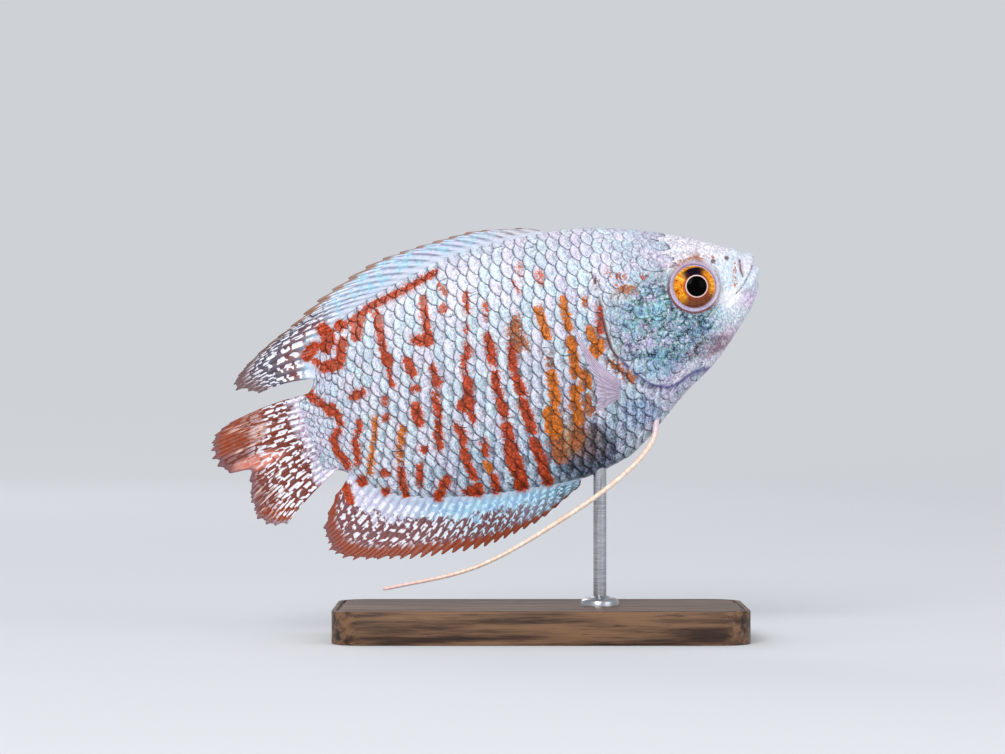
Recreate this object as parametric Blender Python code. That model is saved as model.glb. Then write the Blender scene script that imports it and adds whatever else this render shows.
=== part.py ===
"""Life-size still model of a male dwarf gourami, swimming nose up, on a plain display stand.

World frame: +Z up, origin at the middle of the stand's underside, the fish's nose towards +X.
Fish frame: origin at the tip of the snout, +X out of the snout, +Y to its left, +Z to its back.
The empty fish_pose carries the fish frame and gives the swimming pose. Lengths are in metres.
"""

import math

import bmesh
import bpy
import numpy as np
from mathutils import Matrix, Vector

MM = 0.001
GAP = 0.3 * MM

# Driving sizes of the fish
TOTAL_LENGTH = 70.0 * MM
LENGTH = 0.8 * TOTAL_LENGTH  # standard length, from the snout to the root of the tail fin
PITCH = math.radians(20.2)
SNOUT_FORWARD = 26.4 * MM
SNOUT_HEIGHT = 44.6 * MM

# Body outline: (distance behind the snout, height above the body's axis), as shares of LENGTH
BACK_LINE = (
    (0.0, 0.022),
    (0.010, 0.043),
    (0.019, 0.052),
    (0.027, 0.0635),
    (0.042, 0.0715),
    (0.062, 0.086),
    (0.095, 0.110),
    (0.15, 0.144),
    (0.24, 0.190),
    (0.33, 0.225),
    (0.46, 0.251),
    (0.61, 0.266),
    (0.77, 0.249),
    (0.907, 0.212),
    (0.962, 0.164),
    (1.0, 0.092),
)
BELLY_LINE = (
    (0.0, 0.014),
    (0.005, -0.024),
    (0.0165, -0.0435),
    (0.043, -0.0722),
    (0.086, -0.1065),
    (0.154, -0.155),
    (0.25, -0.203),
    (0.33, -0.249),
    (0.41, -0.284),
    (0.50, -0.292),
    (0.63, -0.274),
    (0.755, -0.246),
    (0.90, -0.194),
    (0.955, -0.150),
    (1.0, -0.091),
)
HALF_WIDTH = (
    (0.0, 0.004),
    (0.012, 0.021),
    (0.04, 0.035),
    (0.09, 0.050),
    (0.15, 0.063),
    (0.22, 0.073),
    (0.32, 0.080),
    (0.42, 0.080),
    (0.54, 0.073),
    (0.67, 0.060),
    (0.80, 0.044),
    (0.92, 0.029),
    (1.0, 0.021),
)
WIDEST_LEVEL = ((0.0, 0.020), (0.15, 0.012), (0.35, -0.030), (0.6, -0.012), (1.0, 0.0))
KEEL = ((0.0, 1.0), (0.3, 1.02), (0.6, 1.12), (1.0, 1.2))  # above 1 draws the edges thin

BODY_STATIONS = 38
BODY_RING = 40
SNOUT_INSET = 0.0052 * LENGTH

# Gill cover: its hind edge, as (behind the snout, height) in shares of LENGTH, and how far it stands out
GILL_EDGE = (
    (0.345, 0.300),
    (0.336, 0.200),
    (0.338, 0.120),
    (0.346, 0.060),
    (0.356, 0.000),
    (0.358, -0.045),
    (0.333, -0.105),
    (0.300, -0.152),
    (0.258, -0.170),
    (0.212, -0.158),
    (0.180, -0.160),
    (0.150, -0.210),
)
GILL_LIFT = 0.4 * MM
GILL_LIFT_FROM = 0.19
GILL_LIFT_OVER = 0.13
TAIL_CUT = 0.90

# Eye
EYE_BEHIND = 0.1430
EYE_ABOVE = 0.0168
EYE_RADIUS = 2.8 * MM
EYE_DEPTH = 1.7 * MM
EYE_FROM_MIDDLE = 2.65 * MM
EYE_TURN = math.radians(9.0)
RIM_RADIUS = 3.08 * MM
RIM_TUBE = 0.38 * MM

# Nostrils: (behind the snout, height) in metres, and the pit's radius
NOSTRILS = ((3.0 * MM, 2.85 * MM, 0.30 * MM), (4.7 * MM, 3.05 * MM, 0.34 * MM))
NOSTRIL_DEPTH = 0.55 * MM

# Lips: half of each, from the middle to the corner of the mouth, as (behind, aside, up, radius)
UPPER_LIP = (
    (0.56 * MM, 0.0, 1.98 * MM, 0.82 * MM),
    (0.80 * MM, 0.75 * MM, 1.50 * MM, 0.72 * MM),
    (1.25 * MM, 1.30 * MM, 0.55 * MM, 0.58 * MM),
    (2.05 * MM, 1.72 * MM, -0.42 * MM, 0.40 * MM),
    (2.70 * MM, 1.95 * MM, -1.02 * MM, 0.30 * MM),
)
LOWER_LIP = (
    (0.16 * MM, 0.0, 0.30 * MM, 0.57 * MM),
    (0.42 * MM, 0.75 * MM, 0.00 * MM, 0.54 * MM),
    (0.95 * MM, 1.30 * MM, -0.66 * MM, 0.50 * MM),
    (1.85 * MM, 1.70 * MM, -1.32 * MM, 0.42 * MM),
    (2.80 * MM, 1.97 * MM, -1.42 * MM, 0.30 * MM),
)

# Fins. A margin is (share along the root, behind the snout, height), in shares of LENGTH
MEMBRANE = 0.25 * MM  # half of its thickness between rays
RAY_ROOT = 0.50 * MM  # half of a ray's thickness at the root
RAY_TIP = 0.20 * MM
FIN_ROWS = 7

DORSAL_ROOT = (0.405, 0.985)
DORSAL_RAYS = 24
DORSAL_SPINES = 16
DORSAL_MARGIN = (
    (0.0, 0.455, 0.268),
    (0.15, 0.578, 0.300),
    (0.35, 0.752, 0.308),
    (0.50, 0.898, 0.278),
    (0.62, 1.000, 0.236),
    (0.74, 1.087, 0.206),
    (0.88, 1.161, 0.158),
    (1.0, 1.110, 0.126),
)
ANAL_ROOT = (0.515, 0.985)
ANAL_RAYS = 30
ANAL_SPINES = 17
ANAL_MARGIN = (
    (0.0, 0.530, -0.306),
    (0.15, 0.652, -0.348),
    (0.30, 0.755, -0.356),
    (0.45, 0.856, -0.340),
    (0.60, 0.955, -0.316),
    (0.72, 1.040, -0.286),
    (0.82, 1.086, -0.250),
    (0.92, 1.084, -0.205),
    (1.0, 1.030, -0.140),
)
TAIL_RAYS = 16
TAIL_ROOT_HALF = 0.089
TAIL_MARGIN = (
    (0.0, 1.190, 0.088),
    (0.13, 1.232, 0.074),
    (0.26, 1.252, 0.046),
    (0.38, 1.254, 0.014),
    (0.46, 1.236, -0.014),
    (0.50, 1.192, -0.028),
    (0.55, 1.196, -0.054),
    (0.64, 1.208, -0.084),
    (0.76, 1.210, -0.118),
    (0.88, 1.190, -0.150),
    (1.0, 1.150, -0.163),
)
TAIL_SWEEP = 1.6 * MM
TAIL_PLEAT = 0.7 * MM

# Pectoral fin: its root on the flank, and its margin as (share, back, up, out) from the root
PECTORAL_ROOT = ((20.5 * MM, -6.5 * MM), (21.3 * MM, -8.5 * MM))
PECTORAL_RAYS = 10
PECTORAL_MARGIN = (
    (0.0, 2.9 * MM, 8.8 * MM, 2.3 * MM),
    (0.2, 3.0 * MM, 6.8 * MM, 3.9 * MM),
    (0.4, 2.7 * MM, 4.7 * MM, 5.2 * MM),
    (0.6, 2.4 * MM, 2.3 * MM, 6.1 * MM),
    (0.8, 2.7 * MM, 0.4 * MM, 5.7 * MM),
    (1.0, 3.6 * MM, -0.8 * MM, 4.0 * MM),
)
PECTORAL_BOW = 0.10
PECTORAL_SHARE = 0.8  # its rays and membrane are thinner than the upright fins' by this
PECTORAL_SAG = 0.9 * MM  # how far the upper rays sag backwards and down
PECTORAL_SINK = 1.2 * MM  # how far the root starts inside, before it is cut to the flank

# Thread-like pelvic fins, as (behind the snout, aside, height), and their radii
FEELER_NEAR = (
    (17.7 * MM, 1.20 * MM, -12.5 * MM),
    (18.75 * MM, 1.95 * MM, -14.45 * MM),
    (20.8 * MM, 2.40 * MM, -16.05 * MM),
    (24.7 * MM, 3.00 * MM, -17.75 * MM),
    (32.2 * MM, 3.70 * MM, -19.8 * MM),
    (44.6 * MM, 4.60 * MM, -21.7 * MM),
    (55.9 * MM, 5.40 * MM, -20.3 * MM),
)
FEELER_FAR = (
    (17.7 * MM, 1.20 * MM, -12.5 * MM),
    (18.9 * MM, 2.20 * MM, -14.0 * MM),
    (22.0 * MM, 3.00 * MM, -14.9 * MM),
    (28.0 * MM, 3.70 * MM, -15.8 * MM),
    (36.0 * MM, 4.40 * MM, -16.6 * MM),
    (46.0 * MM, 5.20 * MM, -16.4 * MM),
    (55.0 * MM, 5.80 * MM, -14.9 * MM),
)
FEELER_ROOT_RADIUS = 0.38 * MM
FEELER_RADIUS = 0.31 * MM
FEELER_TIP_RADIUS = 0.22 * MM
FEELER_LENGTHS = ("root", "middle", "tip")
FEELER_POINTS = 16

# Stand
BASE_SIZE = (50.0 * MM, 26.0 * MM, 4.0 * MM)
BASE_CORNER = 4.0 * MM
BASE_BEVEL = 0.6 * MM
ROD_RADIUS = 0.8 * MM
ROD_BEHIND = 26.4 * MM  # where it meets the belly, behind the snout
ROD_BELLY = -16.3 * MM
SOCKET_DEPTH = 2.4 * MM
COLLAR_RADIUS = 2.3 * MM
COLLAR_HEIGHT = 0.9 * MM


def smooth_through(points):
    """A function running smoothly through (place, value...) points, level where the values turn back."""
    places = np.array([p[0] for p in points], float)
    values = np.array([p[1:] for p in points], float)
    slopes = np.diff(values, axis=0) / np.diff(places)[:, None]
    tangents = np.zeros_like(values)
    tangents[0], tangents[-1] = slopes[0], slopes[-1]
    before, after = slopes[:-1], slopes[1:]
    product, total = before * after, before + after
    onward = product > 0
    tangents[1:-1][onward] = 2 * product[onward] / total[onward]

    def at(place):
        place = min(max(place, places[0]), places[-1])
        i = min(int(np.searchsorted(places, place, side="right")) - 1, len(places) - 2)
        span = places[i + 1] - places[i]
        t = (place - places[i]) / span
        rise = (
            (2 * t**3 - 3 * t**2 + 1) * values[i]
            + (t**3 - 2 * t**2 + t) * span * tangents[i]
            + (3 * t**2 - 2 * t**3) * values[i + 1]
            + (t**3 - t**2) * span * tangents[i + 1]
        )
        return float(rise[0]) if len(rise) == 1 else rise

    return at


def body_line(points):
    """Height or width in metres against the distance behind the snout. The root keeps the snout round."""
    shaped = smooth_through([(math.sqrt(p[0]), p[1]) for p in points])
    return lambda behind: LENGTH * shaped(math.sqrt(max(behind, 0.0) / LENGTH))


back = body_line(BACK_LINE)
belly = body_line(BELLY_LINE)
half_width = body_line(HALF_WIDTH)
widest_level = body_line(WIDEST_LEVEL)
keel = smooth_through(KEEL)


def smooth_step(x):
    x = min(max(x, 0.0), 1.0)
    return x * x * (3 - 2 * x)


def flank(behind, height):
    """How far the body's surface lies from the middle plane, at this place in the side view."""
    level = widest_level(behind)
    reach = back(behind) - level if height > level else level - belly(behind)
    across = 1 - min(((height - level) / reach) ** 2, 1.0)
    return half_width(behind) * math.sqrt(across) ** keel(behind / LENGTH)


def gill_lift(behind):
    """How far the gill cover stands out from the plain body."""
    return GILL_LIFT * smooth_step((behind / LENGTH - GILL_LIFT_FROM) / GILL_LIFT_OVER)


def new_object(name, mesh, collection=None):
    made = bpy.data.objects.new(name, mesh)
    (collection or bpy.context.scene.collection).objects.link(made)
    return made


def mesh_from(name, points, faces):
    mesh = bpy.data.meshes.new(name)
    mesh.from_pydata([tuple(p) for p in points], [], faces)
    shape = bmesh.new()
    shape.from_mesh(mesh)
    bmesh.ops.recalc_face_normals(shape, faces=shape.faces)
    shape.to_mesh(mesh)
    shape.free()
    return mesh


def body_mesh(name, gill_cover=False, swell=0.0):
    """The whole body as one closed loft of rings from the snout to the end of the tail stalk."""
    points, faces = [], []
    for i in range(BODY_STATIONS):
        share = 0.5 * (1 - math.cos(math.pi * i / (BODY_STATIONS - 1)))
        behind = SNOUT_INSET + (LENGTH - SNOUT_INSET) * share
        level = widest_level(behind)
        lift = gill_lift(behind) if gill_cover else 0.0
        wide = half_width(behind) + swell
        for j in range(BODY_RING):
            turn = 2 * math.pi * j / BODY_RING
            up, out = math.cos(turn), math.sin(turn)
            reach = back(behind) - level if up > 0 else level - belly(behind)
            side = math.copysign(abs(out) ** keel(behind / LENGTH), out) if abs(out) > 1e-9 else 0.0
            y = (wide + lift * abs(side)) * side
            points.append((-behind, y, level + (reach + swell) * up))
    for i in range(BODY_STATIONS - 1):
        for j in range(BODY_RING):
            k = (j + 1) % BODY_RING
            a, b = i * BODY_RING, (i + 1) * BODY_RING
            faces.append((a + j, a + k, b + k, b + j))
    faces.append(tuple(range(BODY_RING)))
    last = (BODY_STATIONS - 1) * BODY_RING
    faces.append(tuple(reversed(range(last, last + BODY_RING))))
    return mesh_from(name, points, faces)


def prism(name, outline, half_depth):
    """A closed slab with this side-view outline of (behind, height) points, as thick as half_depth each way."""
    n = len(outline)
    points = [(-b, side * half_depth, h) for side in (-1, 1) for b, h in outline]
    faces = [tuple(range(n)), tuple(range(n, 2 * n))]
    faces += [(i, (i + 1) % n, n + (i + 1) % n, n + i) for i in range(n)]
    return new_object(name, mesh_from(name, points, faces))


def boolean(target, others, operation, solver="MANIFOLD"):
    """Applies one Boolean of the other objects to the target, then removes them."""
    tools = bpy.data.collections.new("tools")
    bpy.context.scene.collection.children.link(tools)
    for other in others:
        for holder in list(other.users_collection):
            holder.objects.unlink(other)
        tools.objects.link(other)
    modifier = target.modifiers.new(operation.lower(), "BOOLEAN")
    modifier.operation = operation
    modifier.solver = solver
    modifier.operand_type = "COLLECTION"
    modifier.collection = tools
    graph = bpy.context.evaluated_depsgraph_get()
    shaped = bpy.data.meshes.new_from_object(target.evaluated_get(graph))
    target.modifiers.clear()
    target.data = shaped
    for other in list(tools.objects):
        bpy.data.objects.remove(other)
    bpy.data.collections.remove(tools)
    keep_largest(target)


def keep_largest(obj):
    """Leaves only the largest closed surface of the object's mesh."""
    shape = bmesh.new()
    shape.from_mesh(obj.data)
    left, islands = set(shape.verts), []
    while left:
        seed = left.pop()
        island, todo = {seed}, [seed]
        while todo:
            for edge in todo.pop().link_edges:
                for vert in edge.verts:
                    if vert in left:
                        left.discard(vert)
                        island.add(vert)
                        todo.append(vert)
        islands.append(island)
    islands.sort(key=len)
    for island in islands[:-1]:
        bmesh.ops.delete(shape, geom=list(island), context="VERTS")
    shape.to_mesh(obj.data)
    shape.free()


def gill_outline(grown):
    """Closed side-view outline of all that lies ahead of the gill cover's edge, grown backwards by this."""
    rough = [(LENGTH * b, LENGTH * h) for b, h in GILL_EDGE]
    through = smooth_through([(i, *p) for i, p in enumerate(rough)])
    steps = 3 * (len(rough) - 1)
    line = [np.array(through(i / 3)) for i in range(steps + 1)]
    edge = []
    for i, point in enumerate(line):
        along = line[min(i + 1, steps)] - line[max(i - 1, 0)]
        outward = np.array((-along[1], along[0])) / np.linalg.norm(along)
        edge.append(tuple(point + grown * outward))
    ahead, above, below = -0.1 * LENGTH, 0.35 * LENGTH, -0.35 * LENGTH
    return [(ahead, above), (edge[0][0], above), *edge, (edge[-1][0], below), (ahead, below)]


def ball(name, place, radii, turn=0.0, segments=20, rings=12):
    shape = bmesh.new()
    bmesh.ops.create_uvsphere(shape, u_segments=segments, v_segments=rings, radius=1.0)
    upright = Matrix.Rotation(math.pi / 2, 4, "X")
    stretch = Matrix.Diagonal((*radii, 1.0))
    shape.transform(Matrix.Translation(place) @ Matrix.Rotation(turn, 4, "Z") @ stretch @ upright)
    mesh = bpy.data.meshes.new(name)
    shape.to_mesh(mesh)
    shape.free()
    return new_object(name, mesh)


def tube(name, path, sides=10):
    """A closed tube along (x, y, z, radius) points, with flat ends."""
    places = [Vector(p[:3]) for p in path]
    radii = [float(p[3]) for p in path]
    points, faces = [], []
    across = None
    for i, place in enumerate(places):
        along = (places[min(i + 1, len(places) - 1)] - places[max(i - 1, 0)]).normalized()
        if across is None:
            across = along.orthogonal().normalized()
        across = (across - along * across.dot(along)).normalized()
        other = along.cross(across)
        for j in range(sides):
            turn = 2 * math.pi * j / sides
            points.append(place + radii[i] * (math.cos(turn) * across + math.sin(turn) * other))
    for i in range(len(path) - 1):
        for j in range(sides):
            k = (j + 1) % sides
            faces.append((i * sides + j, i * sides + k, (i + 1) * sides + k, (i + 1) * sides + j))
    faces.append(tuple(range(sides)))
    faces.append(tuple(range((len(path) - 1) * sides, len(path) * sides)))
    return new_object(name, mesh_from(name, points, faces))


def lip(name, half):
    """A lip round the front of the mouth, mirrored from its half."""
    whole = [(-b, -a, u, r) for b, a, u, r in reversed(half[1:])]
    whole += [(-b, a, u, r) for b, a, u, r in half]
    through = smooth_through([(i, *p) for i, p in enumerate(whole)])
    steps = 3 * (len(whole) - 1)
    return tube(name, [tuple(through(i / 3)) for i in range(steps + 1)], sides=12)


def eye_place(side):
    return Vector((-EYE_BEHIND * LENGTH, side * EYE_FROM_MIDDLE, EYE_ABOVE * LENGTH))


def eye_rim(side):
    """The ring of skin round the eye."""
    behind, height = EYE_BEHIND * LENGTH, EYE_ABOVE * LENGTH
    shape = bmesh.new()
    mesh = bpy.data.meshes.new("rim")
    steps, sides = 24, 8
    rings = []
    for i in range(steps):
        turn = 2 * math.pi * i / steps
        ring = []
        for j in range(sides):
            tip = 2 * math.pi * j / sides
            reach = RIM_RADIUS + RIM_TUBE * math.cos(tip)
            ring.append(
                shape.verts.new((reach * math.cos(turn), RIM_TUBE * math.sin(tip), reach * math.sin(turn)))
            )
        rings.append(ring)
    for i in range(steps):
        for j in range(sides):
            one, two = rings[i], rings[(i + 1) % steps]
            k = (j + 1) % sides
            shape.faces.new((one[j], one[k], two[k], two[j]))
    bmesh.ops.recalc_face_normals(shape, faces=shape.faces)
    place = Vector((-behind, side * (flank(behind, height) - 0.15 * MM), height))
    shape.transform(Matrix.Translation(place) @ Matrix.Rotation(-side * EYE_TURN, 4, "Z"))
    shape.to_mesh(mesh)
    shape.free()
    return new_object("rim", mesh)


def make_head(material):
    head = new_object("head", body_mesh("head", gill_cover=True))
    boolean(head, [prism("front", gill_outline(0.0), 0.2 * LENGTH)], "INTERSECT")
    boolean(head, [lip("upper", UPPER_LIP), lip("lower", LOWER_LIP), eye_rim(1), eye_rim(-1)], "UNION")
    room = tuple(r + GAP for r in (EYE_RADIUS, EYE_DEPTH, EYE_RADIUS))
    cutters = [ball("socket", eye_place(side), room, -side * EYE_TURN, 24, 14) for side in (-1, 1)]
    for behind, height, radius in NOSTRILS:
        for side in (-1, 1):
            place = Vector((-behind, side * flank(behind, height), height))
            cutters.append(ball("nostril", place, (radius, NOSTRIL_DEPTH, radius), 0.0, 8, 6))
    boolean(head, cutters, "DIFFERENCE")
    finish(head, material, (0.0, 0.0, 0.0))


def make_trunk(material):
    trunk = new_object("trunk", body_mesh("trunk"))
    cut = TAIL_CUT * LENGTH
    far = 1.2 * LENGTH
    rear = prism("rear", [(cut, -far), (far, -far), (far, far), (cut, far)], 0.2 * LENGTH)
    boolean(trunk, [prism("front", gill_outline(GAP), 0.2 * LENGTH), rear], "DIFFERENCE")
    finish(trunk, material, (-0.36 * LENGTH, 0.0, 0.0))


def make_tail_stalk(material):
    stalk = new_object("tail_stalk", body_mesh("tail_stalk"))
    cut = TAIL_CUT * LENGTH + GAP
    far = LENGTH
    front = prism("front", [(-far, -far), (cut, -far), (cut, far), (-far, far)], 0.2 * LENGTH)
    boolean(stalk, [front], "DIFFERENCE")
    finish(stalk, material, (-cut, 0.0, 0.0))


def make_eyes(material):
    for side, word in ((1, "left"), (-1, "right")):
        radii = (EYE_RADIUS, EYE_DEPTH, EYE_RADIUS)
        eye = ball(f"eye_{word}", eye_place(side), radii, -side * EYE_TURN, 24, 14)
        finish(eye, material, eye_place(side))


def membrane_solid(name, middle, half, normals):
    """A closed sheet round a grid of middle points. Both faces are split into the same triangles."""
    columns, rows = len(middle), len(middle[0])
    points = []
    for sign in (1, -1):
        for i in range(columns):
            for j in range(rows):
                points.append(Vector(middle[i][j]) + sign * float(half[i][j]) * Vector(normals[i][j]))
    other = columns * rows
    faces = []
    for i in range(columns - 1):
        for j in range(rows - 1):
            a, b = i * rows + j, (i + 1) * rows + j
            for corners in ((a, b, b + 1), (a, b + 1, a + 1)):
                faces.append(corners)
                faces.append(tuple(other + c for c in reversed(corners)))
    rim = [i * rows for i in range(columns)]
    rim += [(columns - 1) * rows + j for j in range(1, rows)]
    rim += [i * rows + rows - 1 for i in range(columns - 2, -1, -1)]
    rim += [j for j in range(rows - 2, 0, -1)]
    for a, b in zip(rim, rim[1:] + rim[:1]):
        faces.append((a, b, other + b))
        faces.append((a, other + b, other + a))
    return new_object(name, mesh_from(name, points, faces))


def ray_columns(rays):
    """(share along the root, whether it is a ray) for every column: a ray, a furrow, a ray and so on."""
    count = 2 * rays - 1
    return [(i / (count - 1), i % 2 == 0) for i in range(count)]


def outline_root(line, start, end, side):
    """A function from 0..1 to the (behind, height) of a fin's root, GAP clear of the body's outline."""
    steps = 80
    places = [LENGTH * (start + (end - start) * i / steps) for i in range(steps + 1)]
    edge = np.array([(p, line(p)) for p in places])
    along = np.gradient(edge, axis=0)
    outward = side * np.stack([-along[:, 1], along[:, 0]], 1) / np.linalg.norm(along, axis=1)[:, None]
    edge = edge + GAP * outward
    run = np.concatenate([[0.0], np.cumsum(np.linalg.norm(np.diff(edge, axis=0), axis=1))])
    return lambda share: np.array([np.interp(share * run[-1], run, edge[:, k]) for k in (0, 1)])


def ray_half(is_ray, along, spiny):
    """Half of the fin's thickness at a share of the way out along a column."""
    root = RAY_ROOT if is_ray else MEMBRANE + 0.5 * (RAY_ROOT - MEMBRANE) * (1 - along) ** 3
    tip = (RAY_TIP if spiny else 1.1 * RAY_TIP) if is_ray else 0.8 * RAY_TIP
    middle = MEMBRANE + (0.6 * (RAY_ROOT - MEMBRANE) if is_ray else 0.0)
    return root + (middle - root) * smooth_step(along / 0.5) if along < 0.5 else (
        middle + (tip - middle) * smooth_step((along - 0.5) / 0.5)
    )


def median_fin(name, root, margin_points, rays, spines, bow, notch, sway, material):
    """An upright fin: rays from its root to its margin, raised on both faces of the membrane.

    bow bends the rays by this share of their length, notch is how far the membrane stops short of the
    tips, and sway gives the sideways place of a point from its shares along the root and the ray.
    """
    margin = smooth_through(margin_points)
    middle, half = [], []
    for share, is_ray in ray_columns(rays):
        spiny = share * (rays - 1) < spines
        start, end = root(share), LENGTH * np.array(margin(share))
        across = np.array((-(end - start)[1], (end - start)[0]))
        reach = 1.0 if is_ray else 1.0 - notch * (1.6 if spiny else 1.0)
        column, thick = [], []
        for j in range(FIN_ROWS):
            along = reach * j / (FIN_ROWS - 1)
            behind, height = start + (end - start) * along + across * bow * math.sin(math.pi * along)
            column.append((-behind, sway(share, along), height))
            thick.append(ray_half(is_ray, along / reach, spiny))
        middle.append(column)
        half.append(thick)
    sideways = [[(0.0, 1.0, 0.0)] * FIN_ROWS for _ in middle]
    fin = membrane_solid(name, middle, half, sideways)
    finish(fin, material, middle[0][0])


def make_dorsal_fin(material):
    root = outline_root(back, *DORSAL_ROOT, 1)

    def sway(share, along):
        return 0.5 * MM * math.sin(5.0 * share) * along**2

    median_fin("dorsal_fin", root, DORSAL_MARGIN, DORSAL_RAYS, DORSAL_SPINES, 0.05, 0.07, sway, material)


def make_anal_fin(material):
    root = outline_root(belly, *ANAL_ROOT, -1)

    def sway(share, along):
        return 0.6 * MM * math.sin(6.0 * share + 1.0) * along**2

    median_fin("anal_fin", root, ANAL_MARGIN, ANAL_RAYS, ANAL_SPINES, -0.07, 0.08, sway, material)


def make_tail_fin(material):
    half_root = TAIL_ROOT_HALF * LENGTH

    def root(share):
        return np.array((LENGTH + GAP, half_root * (1 - 2 * share)))

    def sway(share, along):
        pleat = TAIL_PLEAT * math.exp(-(((share - 0.5) / 0.07) ** 2))
        return (TAIL_SWEEP * (0.5 - share) + pleat) * along**2

    median_fin("tail_fin", root, TAIL_MARGIN, TAIL_RAYS, 0, 0.03, 0.05, sway, material)


def make_pectoral_fins(material):
    margin = smooth_through(PECTORAL_MARGIN)
    (top_behind, top_height), (low_behind, low_height) = PECTORAL_ROOT
    for side, word in ((1, "left"), (-1, "right")):
        middle, half = [], []
        for share, is_ray in ray_columns(PECTORAL_RAYS):
            behind = top_behind + share * (low_behind - top_behind)
            height = top_height + share * (low_height - top_height)
            start = np.array((behind, height, flank(behind, height)))
            reach = np.array(margin(share)) * (1.0 if is_ray else 0.93)
            column = [(-start[0], side * (start[2] - PECTORAL_SINK), start[1])]
            thick = [PECTORAL_SHARE * ray_half(is_ray, 0.0, False)]
            for j in range(FIN_ROWS):
                along = j / (FIN_ROWS - 1)
                swing = math.sin(math.pi * along)
                place = start + reach * along
                place += PECTORAL_BOW * np.linalg.norm(reach) * swing * np.array((0.0, 0.0, 1.0))
                place += PECTORAL_SAG * (1 - share) ** 2 * swing * np.array((0.6, -0.8, 0.0))
                column.append((-place[0], side * place[2], place[1]))
                thick.append(PECTORAL_SHARE * ray_half(is_ray, along, False))
            middle.append(column)
            half.append(thick)
        grid = np.array(middle)
        down, out = np.gradient(grid, axis=0), np.gradient(grid, axis=1)
        normals = np.cross(down, out)
        normals /= np.linalg.norm(normals, axis=2)[:, :, None]
        fin = membrane_solid(f"pectoral_fin_{word}", middle, half, normals)
        boolean(fin, [new_object("mould", body_mesh("mould", swell=GAP))], "DIFFERENCE")
        finish(fin, material, (-top_behind, side * flank(top_behind, top_height), top_height))


def make_feelers(material):
    """Each long pelvic thread, in three lengths."""
    for side, word, route in ((1, "left", FEELER_FAR), (-1, "right", FEELER_NEAR)):
        through = smooth_through([(i, *p) for i, p in enumerate(route)])
        fine = np.array([through(i * (len(route) - 1) / 200) for i in range(201)])
        run = np.concatenate([[0.0], np.cumsum(np.linalg.norm(np.diff(fine, axis=0), axis=1))])
        pieces = len(FEELER_LENGTHS)
        for k, part in enumerate(FEELER_LENGTHS):
            start = run[-1] * k / pieces + (GAP if k else 0.0)
            end = run[-1] * (k + 1) / pieces
            path = []
            for i in range(FEELER_POINTS):
                at = start + (end - start) * i / (FEELER_POINTS - 1)
                behind, aside, height = (np.interp(at, run, fine[:, c]) for c in range(3))
                share = at / run[-1]
                radius = FEELER_RADIUS + (FEELER_TIP_RADIUS - FEELER_RADIUS) * smooth_step(share * 1.4 - 0.4)
                radius += (FEELER_ROOT_RADIUS - FEELER_RADIUS) * (1 - smooth_step(share / 0.08))
                path.append((-behind, side * aside, height, radius))
            feeler = tube(f"feeler_{word}_{part}", path, sides=8)
            if k == 0:
                boolean(feeler, [new_object("mould", body_mesh("mould", swell=GAP))], "DIFFERENCE")
            finish(feeler, material, path[0][:3])


def make_material(name, colour, roughness, metallic=0.0):
    material = bpy.data.materials.new(name)
    material.use_nodes = True
    shader = material.node_tree.nodes["Principled BSDF"]
    shader.inputs["Base Color"].default_value = (*colour, 1.0)
    shader.inputs["Roughness"].default_value = roughness
    shader.inputs["Metallic"].default_value = metallic
    return material


def finish(obj, material, origin, parent_name="fish_pose"):
    """Gives the object its material, its origin and its place under the empty that carries it."""
    obj.data.transform(Matrix.Translation(-Vector(origin)))
    obj.location = origin
    obj.data.materials.clear()
    obj.data.materials.append(material)
    obj.data.shade_smooth()
    obj.data.set_sharp_from_angle(angle=math.radians(40))
    if parent_name:
        obj.parent = bpy.data.objects[parent_name]


def pose_matrix():
    place = Matrix.Translation((SNOUT_FORWARD, 0.0, SNOUT_HEIGHT))
    return place @ Matrix.Rotation(-PITCH, 4, "Y")


def make_base(material):
    shape = bmesh.new()
    bmesh.ops.create_cube(shape, size=1.0)
    shape.transform(Matrix.Translation((0, 0, BASE_SIZE[2] / 2)) @ Matrix.Diagonal((*BASE_SIZE, 1.0)))
    upright = [e for e in shape.edges if abs(e.verts[0].co.z - e.verts[1].co.z) > BASE_SIZE[2] / 2]
    bmesh.ops.bevel(shape, geom=upright, offset=BASE_CORNER, segments=6, affect="EDGES", profile=0.5)
    top = max(shape.faces, key=lambda f: f.calc_center_median().z)
    bmesh.ops.bevel(shape, geom=list(top.edges), offset=BASE_BEVEL, segments=2, affect="EDGES", profile=0.5)
    mesh = bpy.data.meshes.new("stand_base")
    shape.to_mesh(mesh)
    shape.free()
    base = new_object("stand_base", mesh)
    foot = rod_foot()
    socket = tube("socket", [(*foot.xy, BASE_SIZE[2] + d, ROD_RADIUS + GAP) for d in (-SOCKET_DEPTH, MM)], 20)
    boolean(base, [socket], "DIFFERENCE")
    finish(base, material, (0.0, 0.0, 0.0), None)


def rod_foot():
    """The point of the belly that the rod carries, in the world frame."""
    return pose_matrix() @ Vector((-ROD_BEHIND, 0.0, ROD_BELLY))


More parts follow.
